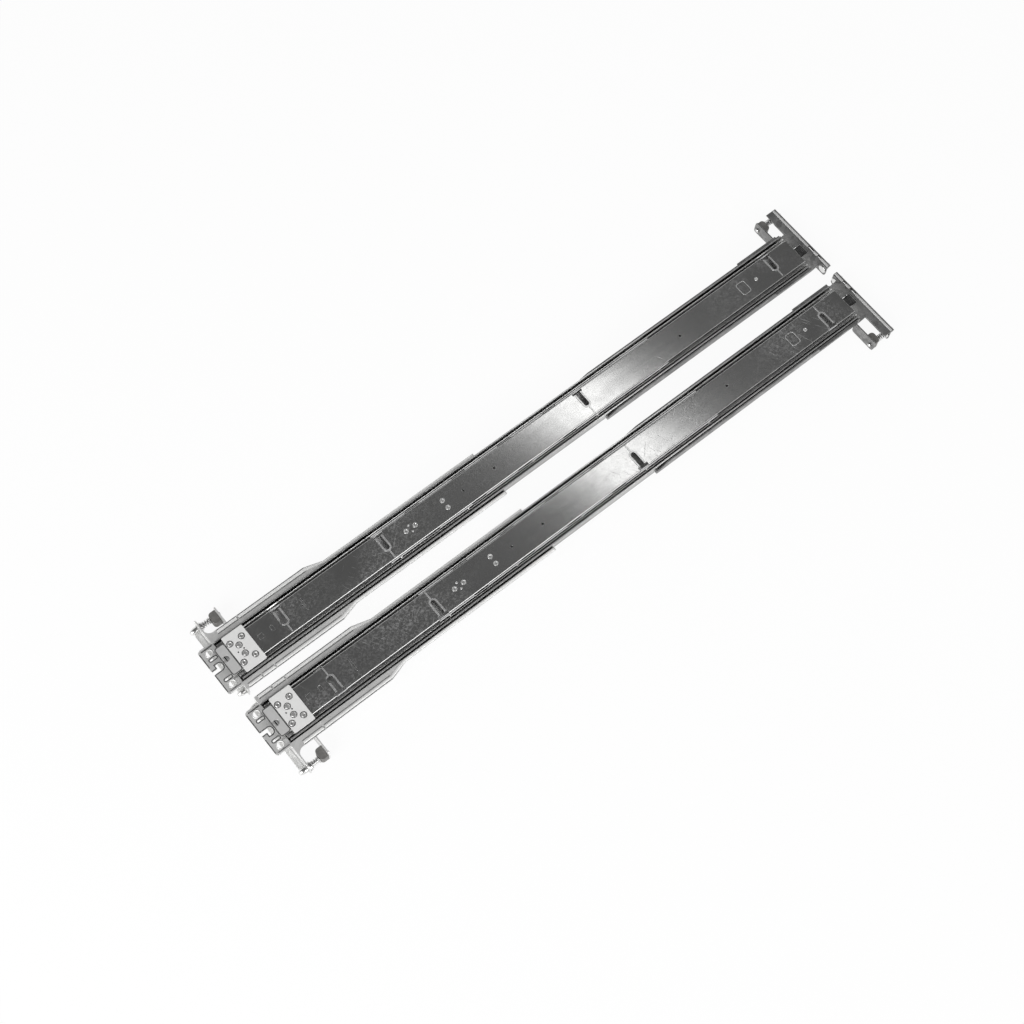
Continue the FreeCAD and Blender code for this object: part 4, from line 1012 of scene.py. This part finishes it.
def coil(low, high):
    """A helix of round wire inside a box. At share u the angle is 2 pi n u, and the height is
    the length times (u - 0.8 sin(2 pi u) / (2 pi)), which is slow at both ends."""
    share = np.linspace(0, 1, COIL_TURNS * STEPS_A_TURN + 1)
    angle = 2 * np.pi * COIL_TURNS * share
    radius = (high.y - low.y) / 2 - WIRE_RADIUS
    rise = share - 0.8 * np.sin(2 * np.pi * share) / (2 * np.pi)
    start, length = low.x + WIRE_RADIUS, high.x - low.x - 2 * WIRE_RADIUS
    centre = (low + high) / 2
    outwards = np.stack([angle * 0, np.cos(angle), np.sin(angle)], axis=-1)
    path = np.array([0, centre.y, centre.z]) + radius * outwards
    path[:, 0] = start + length * rise
    sideways = np.cross(directions(path), outwards)
    return carried(path, outwards, sideways, ring_outline(WIRE_RADIUS, 10))


for rail in RAILS:
    for end, outward in ENDS.items():
        node = f"{rail}_{end}_stud_spring"
        low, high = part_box(node)
        body = "fixed_rails" if end == "front" else f"{rail}_rear_bracket"
        wound = make_piece(f"{node}_coil", coil(low, high), body, "spring_steel", [node])
        length = high.x - low.x
        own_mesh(wound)
print("wound 4 coils of", COIL_TURNS, "turns")

# %% [markdown]
# ## Leaf springs
#
# Two flat springs do the quiet work. One is bowed between the front bracket and the latch's
# tail. The other runs from a post to the edge of the slide lock's lever. Each is a strip: a
# thin rectangle carried along a curve, with its corners a little round.

# %% Bending the leaves
LEAF = 0.4 * MM


def strip_outline(width, thickness):
    """A flat strip's section with rounded corners, as an outline."""
    a, b, c = width / 2, thickness / 2, thickness * 0.3
    return [
        (a - c, -b), (a, c - b), (a, b - c), (a - c, b),
        (c - a, b), (-a, b - c), (-a, c - b), (c - a, -b),
    ]


def bowed_leaf(low, high):
    """A strip whose middle hangs down. At share u along X the sag is 4 u (1 - u)."""
    share = np.linspace(0, 1, 33)
    sag = high.z - low.z - LEAF
    path = np.stack(
        [
            low.x + (high.x - low.x) * share,
            share * 0 + (low.y + high.y) / 2,
            high.z - LEAF / 2 - sag * 4 * share * (1 - share),
        ],
        axis=-1,
    )
    across = np.tile([0.0, 1.0, 0.0], (len(path), 1))
    outline = strip_outline(high.y - low.y, LEAF)
    return carried(path, across, np.cross(directions(path), across), outline)


def side_leaf(low, high, outward):
    """A strip on edge that swings from the post's line to the lever's edge.

    Across it moves by 3 u^2 - 2 u^3 of the way at share u."""
    share = np.linspace(0, 1, 41)
    ease = 3 * share**2 - 2 * share**3
    near, far = (low.y, high.y) if outward > 0 else (high.y, low.y)
    step = LEAF / 2 * outward
    path = np.stack(
        [
            low.x + (high.x - low.x) * share,
            near + step + (far - near - 2 * step) * ease,
            share * 0 + (low.z + high.z) / 2,
        ],
        axis=-1,
    )
    upward = np.tile([0.0, 0.0, 1.0], (len(path), 1))
    outline = strip_outline(high.z - low.z, LEAF)
    return carried(path, upward, np.cross(directions(path), upward), outline)


for rail in RAILS:
    node = f"{rail}_latch_spring"
    low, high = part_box(node)
    leaf = make_piece(f"{node}_leaf", bowed_leaf(low, high), "fixed_rails", "spring_steel", [node])
    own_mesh(leaf)
    node = f"{rail}_lock_spring"
    low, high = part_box(node)
    outward = ACROSS[rail]
    leaf = make_piece(
        f"{node}_leaf", side_leaf(low, high, outward), f"{rail}_inner", "spring_steel", [node]
    )
    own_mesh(leaf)
print("bent 4 leaf springs")

# %% [markdown]
# ## Rivets and pins
#
# The CAD rivets are plain cylinders with flat heads, several in one node. Smooth ones stand in
# their places, which are read from the frame: each rivet is an island of the node's mesh.

# %% Finding the rivets

def islands(node):
    """The centre, lowest and highest level and head radius of each rivet of a node.

    A copy of the mesh is merged, and the vertices that edges join are one rivet."""
    shell = bmesh.new()
    shell.from_mesh(nodes[node].data)
    bmesh.ops.remove_doubles(shell, verts=shell.verts, dist=0.001 * MM)
    waiting, found = set(shell.verts), []
    while waiting:
        group, edge_of_group = [], [waiting.pop()]
        while edge_of_group:
            vertex = edge_of_group.pop()
            group.append(vertex.co.copy())
            neighbours = {edge.other_vert(vertex) for edge in vertex.link_edges} & waiting
            waiting -= neighbours
            edge_of_group += neighbours
        points = np.array(group)
        low, high = points.min(0), points.max(0)
        found.append((Vector((low + high) / 2), low[2], high[2], (high[0] - low[0]) / 2))
    shell.free()
    return sorted(found, key=lambda rivet: (round(rivet[0].x, 4), rivet[0].y))


print("the link plate has", len(islands("right_link_rivets")), "rivets")

# %% [markdown]
# In the photograph four rivets of the rear link plate are dark rings with a bright flat centre,
# as a hollow rivet is once its rim is rolled over, and two more are small domes. All of them are
# turned pieces again, and each sits in a ring of painted shade where its head presses on the
# plate.

# %% Turning the rivets

def eyelet(low, high, radius, head):
    """A hollow rivet: a rolled rim round a deep flat centre, a shank, and a head below."""
    inner, shank = radius * 0.50, radius * 0.56
    return [
        (high - head * 1.6, 0),
        (high - head * 1.6, inner * 0.92),
        (high - head * 0.50, inner),
        (high - head * 0.10, radius * 0.62),
        (high, radius * 0.72),
        (high - head * 0.10, radius * 0.86),
        (high - head * 0.40, radius * 0.97),
        (high - head * 0.98, radius),
        (high - head, shank),
        (low + head, shank),
        (low + head * 0.98, radius * 0.8),
        (low + head * 0.3, radius * 0.78),
        (low, radius * 0.66),
        (low, 0),
    ]


def dome(low, high, radius, head):
    """A solid rivet: a domed head, which is an arc of a quarter turn, on a plain shank."""
    turn = np.linspace(0, np.pi / 2, 8)
    crown = np.stack(
        [high - head + head * np.cos(turn), radius * np.sin(turn)], axis=-1
    ).tolist()
    return crown + [
        (high - head * 1.02, radius * 0.6),
        (low + head, radius * 0.6),
        (low + head * 0.98, radius * 0.8),
        (low + head * 0.25, radius * 0.76),
        (low, radius * 0.62),
        (low, 0),
    ]


HEAD = 0.6 * MM                          # height of a rivet's head on the server face
SEAT_MARGIN = 0.35 * MM                  # from a head's rim to the middle of its dark seat
SEAT = (0.9 * MM, 0.12 * MM)             # width and rise of the seat
DOMED = (2, 3)                           # the two solid rivets, counted along the rail
for rail in RAILS:
    found = islands(f"{rail}_link_rivets")
    shapes = []
    for number, (centre, low, high, radius) in enumerate(found):
        shape = dome if number in DOMED else eyelet
        profile = shape(low - centre.z, high - centre.z, radius, HEAD)
        shapes.append(turned(profile, [centre], "z"))
    # Painted shade: a dark ring round each head stands for the shade where it presses on the
    # plate.
    seat_shade_rings = [
        carried(
            *circle_path((centre.x, centre.y, high - HEAD), radius + SEAT_MARGIN),
            half_round(*SEAT),
            closed=True,
        )
        for centre, low, high, radius in found
    ]
    make_piece(
        f"{rail}_rivet_seat_shade", joined(seat_shade_rings), f"{rail}_inner", "link_steel", finish=painted_shade_seam
    )
    make_piece(
        f"{rail}_link_rivets_set",
        joined(shapes),
        f"{rail}_inner",
        "rivet_steel",
        [f"{rail}_link_rivets"],
    )
    found = islands(f"{rail}_inner_rivets")
    shapes = [
        turned(eyelet(low - centre.z, high - centre.z, radius, HEAD), [centre], "z")
        for centre, low, high, radius in found
    ]
    make_piece(
        f"{rail}_inner_rivets_set",
        joined(shapes),
        f"{rail}_inner",
        "rivet_steel",
        [f"{rail}_inner_rivets"],
    )
    print(rail, "rivets at", [round(rivet[0].x / MM, 1) for rivet in found])

# %% [markdown]
# The latch turns on a pin that is peened over at both ends: a rod along Y whose ends are low
# domes wider than the hole.

# %% Latch pins
PEEN = 0.8 * MM


def pin_profile(reach, radius, head):
    """A rod with a domed head at both ends, symmetric about its middle."""
    turn = np.linspace(0, np.pi / 2, 6)
    crown = np.stack([reach - PEEN + PEEN * np.cos(turn), head * np.sin(turn)], axis=-1)
    half = crown.tolist() + [(reach - PEEN, radius)]
    return half + [(-height, r) for height, r in reversed(half)]


for rail in RAILS:
    node = f"{rail}_latch_pin"
    low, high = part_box(node)
    head = (high.x - low.x) / 2
    profile = pin_profile((high.y - low.y) / 2, head * 0.68, head)
    make_piece(
        f"{node}_peened", turned(profile, [middle(node)], "y"), "fixed_rails", "stud_steel", [node]
    )
print("peened 2 latch pins")

# %% [markdown]
# ## Small pressed and moulded details
#
# The two round holes of the cable-arm tab have rims drawn up out of the sheet, as a press leaves
# them. A torus would stand too high and round, so each rim is a low half-round outline carried
# round a circle. Places along the rails are counted from the faces of the flanges.

# %% Drawn rims
REAR_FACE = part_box("right_rear_fixed_stud")[0].x + STUD_REACH
FRONT_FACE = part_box("right_front_fixed_stud")[1].x - STUD_REACH
CENTRE_LINES = {rail: middle(f"{rail}_inner_member").y for rail in RAILS}
TAB_LEVEL = 18.0 * MM
RIM_WIDTH = 1.0 * MM
RIM_RISE = 0.45 * MM
HOLE_RADIUS = 3.3 * MM
HOLE_LINE = 18.5 * MM                    # of the cable-arm holes from the rail's centre line

for rail, centre_line in CENTRE_LINES.items():
    tab_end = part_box(f"{rail}_rear_flange")[0].x
    hole_x = (tab_end + REAR_FACE + FLANGE) / 2
    rims = []
    for side in (1, -1):
        place = (hole_x, centre_line + HOLE_LINE * side, TAB_LEVEL)
        path = circle_path(place, HOLE_RADIUS + RIM_WIDTH / 2)
        rims.append(carried(*path, half_round(RIM_WIDTH, RIM_RISE), closed=True))
    make_piece(f"{rail}_tab_rims", joined(rims), f"{rail}_rear_bracket", "bracket_steel")
print("drew 4 rims")

# %% [markdown]
# Near the front of each server face a rounded frame is pressed where a maker would put its
# mark. Here it stays bare. Its path is four quarter circles, and the straight sides come by
# themselves where the outline goes from one to the next.

# %% Bare frame
FRAME_LINE = 72.0 * MM                   # from the members' front end to the frame's middle
FRAME_HALF_LENGTH = 5.2 * MM
FRAME_HALF_WIDTH = 7.0 * MM
FRAME_CORNER = 2.4 * MM
FRAME_WIDTH = 0.8 * MM
FRAME_RISE = 0.18 * MM


def rounded_frame_path(centre, half_length, half_width, corner, steps=10):
    """A level rectangle with round corners: four quarter circles, each about its own centre."""
    signs = np.array([(1, 1), (-1, 1), (-1, -1), (1, -1)], float)
    quarter = np.linspace(0, np.pi / 2, steps)
    angle = (quarter[None] + np.arange(4)[:, None] * np.pi / 2).ravel()
    outwards = np.stack([np.cos(angle), np.sin(angle), angle * 0], axis=-1)
    centres = np.repeat(signs * (half_length - corner, half_width - corner), steps, axis=0)
    path = np.array(centre) + corner * outwards
    path[:, :2] += centres
    return path, outwards, np.tile([0.0, 0, 1], (len(path), 1))


for rail, centre_line in CENTRE_LINES.items():
    front_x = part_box(f"{rail}_inner_member")[1].x
    frame_path = rounded_frame_path(
        (front_x - FRAME_LINE, centre_line, SERVER_FACE),
        FRAME_HALF_LENGTH,
        FRAME_HALF_WIDTH,
        FRAME_CORNER,
    )
    pressed = carried(*frame_path, half_round(FRAME_WIDTH, FRAME_RISE), closed=True)
    make_piece(f"{rail}_bare_frame", pressed, f"{rail}_inner", "inner_steel")
print("pressed 2 bare frames")

# %% [markdown]
# The latch's pad has ribs that keep a fingertip from slipping. Their tops are worn paler than
# the pad. Each is the same half-round outline, carried along a line of only two points.

# %% Finger ribs
RIBS = 5
RIBS_FROM = 12.8 * MM                    # behind the front flange's face
RIBS_TO = 6.0 * MM
RIB_LENGTH = 9.6 * MM
RIB_WIDTH = 0.8 * MM
RIB_RISE = 0.4 * MM

for rail, centre_line in CENTRE_LINES.items():
    pad_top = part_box(f"{rail}_front_latch")[1].z
    across = np.tile([1.0, 0, 0], (2, 1))
    up = np.tile([0.0, 0, 1], (2, 1))
    ribs = []
    for place in np.linspace(FRONT_FACE - RIBS_FROM, FRONT_FACE - RIBS_TO, RIBS):
        path = np.array(
            [(place, centre_line + side * RIB_LENGTH / 2, pad_top) for side in (-1, 1)]
        )
        ribs.append(carried(path, across, up, half_round(RIB_WIDTH, RIB_RISE)))
    make_piece(
        f"{rail}_pad_ribs", joined(ribs), f"{rail}_latch", "latch_black", finish=worn_black
    )
print("laid", RIBS, "ribs on each pad")

# %% [markdown]
# Sheet this thin is stiffened along its edges. The strips beside the rear tray carry a long
# pressed bead that follows their outline, broken where two sheets meet, with a thin dark line
# of painted shade at its foot on either side. A bead is a half-round outline carried along a
# level line, and where the line turns, the outline is mitred like a picture frame.

# %% Level lines

def level_run(points, level):
    """A level line through the points, mitred.

    Where two runs with normals m and n meet, the outline is spread by (m + n) / (1 + m . n)."""
    points = np.array(points, float)
    steps = np.diff(points, axis=0)
    steps /= np.linalg.norm(steps, axis=1, keepdims=True)
    normals = np.stack([-steps[:, 1], steps[:, 0]], axis=-1)
    before = np.concatenate([normals[:1], normals])
    after = np.concatenate([normals, normals[-1:]])
    spread = (before + after) / (1 + (before * after).sum(1, keepdims=True))
    flat = np.zeros((len(points), 1))
    path = np.concatenate([points, flat + level], axis=1)
    return path, np.concatenate([spread, flat], axis=1), np.tile([0.0, 0, 1], (len(points), 1))


def on_rail(rail, run, start=REAR_FACE, side=1, step=0.0):
    """The places of a run of (along, across) in millimetres, from a face and the centre line.

    A step moves the whole run across."""
    return [
        (start + along * MM, CENTRE_LINES[rail] + (across + step) * MM * side * ACROSS[rail])
        for along, across in run
    ]


print("the flanges are", round((FRONT_FACE - REAR_FACE) / MM, 1), "mm apart")

# %% [markdown]
# The beads' places were read off the photograph, as steps along and across each rail. The dark
# lines follow the same steps, moved a little to either side.

# %% Pressed beads along the rear strips
STRIP_LEVEL = 20.0 * MM
BEAD_WIDTH = 2.8 * MM
BEAD_RISE = 0.7 * MM
GROOVE = (0.7 * MM, 0.06 * MM)           # width and rise of a thin dark line
GROOVE_STEPS = (-2.2, 1.8)               # from a bead's middle to the lines, in millimetres
BEAD_RUNS = {                            # upper and lower side, from the rear flange's face
    1: [[(10.5, 30.6), (33.2, 30.6)],
        [(34.8, 30.6), (111.4, 30.6), (130.6, 25.3), (312.0, 25.3)]],
    -1: [[(3.5, 30.2), (18.2, 30.2)], [(19.8, 30.2), (33.2, 30.2)],
         [(34.8, 30.2), (111.4, 30.2), (130.6, 25.3), (312.0, 25.3)]],
}

for rail in RAILS:
    beads, groove_shade_lines = [], []
    for side, runs in BEAD_RUNS.items():
        for run in runs:
            path = level_run(on_rail(rail, run, side=side), STRIP_LEVEL)
            beads.append(carried(*path, half_round(BEAD_WIDTH, BEAD_RISE)))
        # Painted shade: thin dark lines on either side of each bead's foot.
        for run in runs[:-1] + [runs[-1][:2]]:
            for step in GROOVE_STEPS:
                path = level_run(on_rail(rail, run, side=side, step=step), STRIP_LEVEL)
                groove_shade_lines.append(carried(*path, half_round(*GROOVE)))
    make_piece(
        f"{rail}_strip_beads",
        joined(beads),
        f"{rail}_rear_bracket",
        "bracket_steel",
        finish=finishes["link_steel"],
    )
    make_piece(
        f"{rail}_strip_groove_shade",
        joined(groove_shade_lines),
        f"{rail}_rear_bracket",
        "bracket_steel",
        finish=painted_shade_seam,
    )
print("pressed", sum(len(runs) for runs in BEAD_RUNS.values()), "beads on each rail")

# %% [markdown]
# The lip of the front flange is rolled over, which shows as a bright line with a dark one
# behind it; the dark line is painted shade. The ridge stays very low, as the members slide out
# over it.

# %% Rolled edge along the front lip
LIP_LEVEL = 16.4 * MM
LIP_WIDTH = 2.6 * MM
LIP_RISE = 0.22 * MM
LIP_EDGE = 0.4                           # millimetres past the front flange's face
LIP_SEAM = -1.5
LIP_RUNS = [(-31.8, -20.5), (-15.4, -10.0), (-1.2, 52.8)]


def lip_line(rail, along, outline):
    """An outline carried along the lip, broken where the sheet is cut."""
    return joined(
        [
            carried(
                *level_run(
                    on_rail(rail, [(along, start), (along, end)], FRONT_FACE), LIP_LEVEL
                ),
                outline,
            )
            for start, end in LIP_RUNS
        ]
    )


for rail in RAILS:
    edge = lip_line(rail, LIP_EDGE, half_round(LIP_WIDTH, LIP_RISE))
    make_piece(f"{rail}_lip_edge", edge, "fixed_rails", "bracket_steel")
    # Painted shade: a dark line behind the rolled lip.
    seam_shade = lip_line(rail, LIP_SEAM, half_round(*GROOVE))
    make_piece(f"{rail}_lip_seam_shade", seam_shade, "fixed_rails", "bracket_steel", finish=painted_shade_seam)
print("rolled 2 lips")

# %% [markdown]
# The photograph draws a dark line round the raised tongue, and round the cable-arm tab with
# its notch and its slots, where shade falls in the bend of the sheet. Here each line is a
# ridge too low to feel, in a dark finish that paints this shade.

# %% Dark lines round the tongue and the tab
WIDE_GROOVE = (1.1 * MM, 0.06 * MM)
TONGUE_MARGIN = 0.5 * MM
TONGUE_CORNER = 2.0 * MM
TAB_RUNS = [
    [(-13.0, 23.6), (-0.9, 23.6)],
    [(-13.0, -23.6), (-0.9, -23.6)],
    [(-15.2, 6.4), (-15.2, 22.6)],
    [(-15.2, -22.6), (-15.2, -2.6)],
    [(-15.2, -2.4), (-6.1, -2.4), (-4.0, -1.3), (-3.2, 0.6), (-3.2, 3.3),
     (-4.0, 5.2), (-6.1, 6.3), (-10.4, 6.3), (-10.4, 2.4), (-15.2, 2.4)],
]
SLOT_ALONG = -7.2 * MM                   # middle of the tab's slots, from the rear face
SLOT_ACROSS = 12.0 * MM
SLOT_RING = (4.35 * MM, 1.6 * MM, 1.59 * MM)    # half length, half width and corner

for rail, centre_line in CENTRE_LINES.items():
    low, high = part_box(f"{rail}_tongue")
    half_length = (high.x - low.x) / 2 - TONGUE_MARGIN
    half_width = (high.y - low.y) / 2 - TONGUE_MARGIN
    place = ((low.x + high.x) / 2, (low.y + high.y) / 2, high.z)
    outline = rounded_frame_path(place, half_length, half_width, TONGUE_CORNER)
    # Painted shade: dark outlines round the tongue, the tab's edges, its notch and its slots.
    make_piece(
        f"{rail}_tongue_seam_shade",
        carried(*outline, half_round(*WIDE_GROOVE), closed=True),
        f"{rail}_inner",
        "inner_steel",
        finish=painted_shade_seam,
    )
    lines = [
        carried(*level_run(on_rail(rail, run), TAB_LEVEL), half_round(*WIDE_GROOVE))
        for run in TAB_RUNS
    ]
    for side in (1, -1):
        place = (REAR_FACE + SLOT_ALONG, centre_line + SLOT_ACROSS * side, TAB_LEVEL)
        ring = rounded_frame_path(place, *SLOT_RING)
        lines.append(carried(*ring, half_round(*WIDE_GROOVE), closed=True))
    make_piece(
        f"{rail}_tab_seam_shades",
        joined(lines),
        f"{rail}_rear_bracket",
        "bracket_steel",
        finish=painted_shade_seam,
    )
print("drew the dark lines of 2 tongues and 2 tabs")

# %% [markdown]
# Between the two rivets of the travel stop, the server face shows two small domes, where the
# stop's own pegs come through and are hammered over. A small hollow rivet lies just ahead of
# the bare frame. All three are turned.

# %% Stakes
STAKE_LINE = 215.7 * MM                  # from the rear flange's face
STAKE_STEP = 3.6 * MM                    # to either side of the centre line
STAKE = (-1.3 * MM, 0.45 * MM, 1.15 * MM, 0.45 * MM)    # low, high, radius and head
EYELET_LINE = 663.2 * MM
EYELET = (-1.0 * MM, 0.3 * MM, 2.0 * MM, 0.3 * MM)

for rail, centre_line in CENTRE_LINES.items():
    stakes = [
        (REAR_FACE + STAKE_LINE, centre_line + STAKE_STEP * side, SERVER_FACE)
        for side in (-1, 1)
    ]
    hollow = [(REAR_FACE + EYELET_LINE, centre_line, SERVER_FACE)]
    make_piece(
        f"{rail}_stop_stakes",
        joined([turned(dome(*STAKE), stakes, "z"), turned(eyelet(*EYELET), hollow, "z")]),
        f"{rail}_inner",
        "rivet_steel",
    )
print("staked the stops", STAKE_LINE / MM, "mm from the rear flanges")
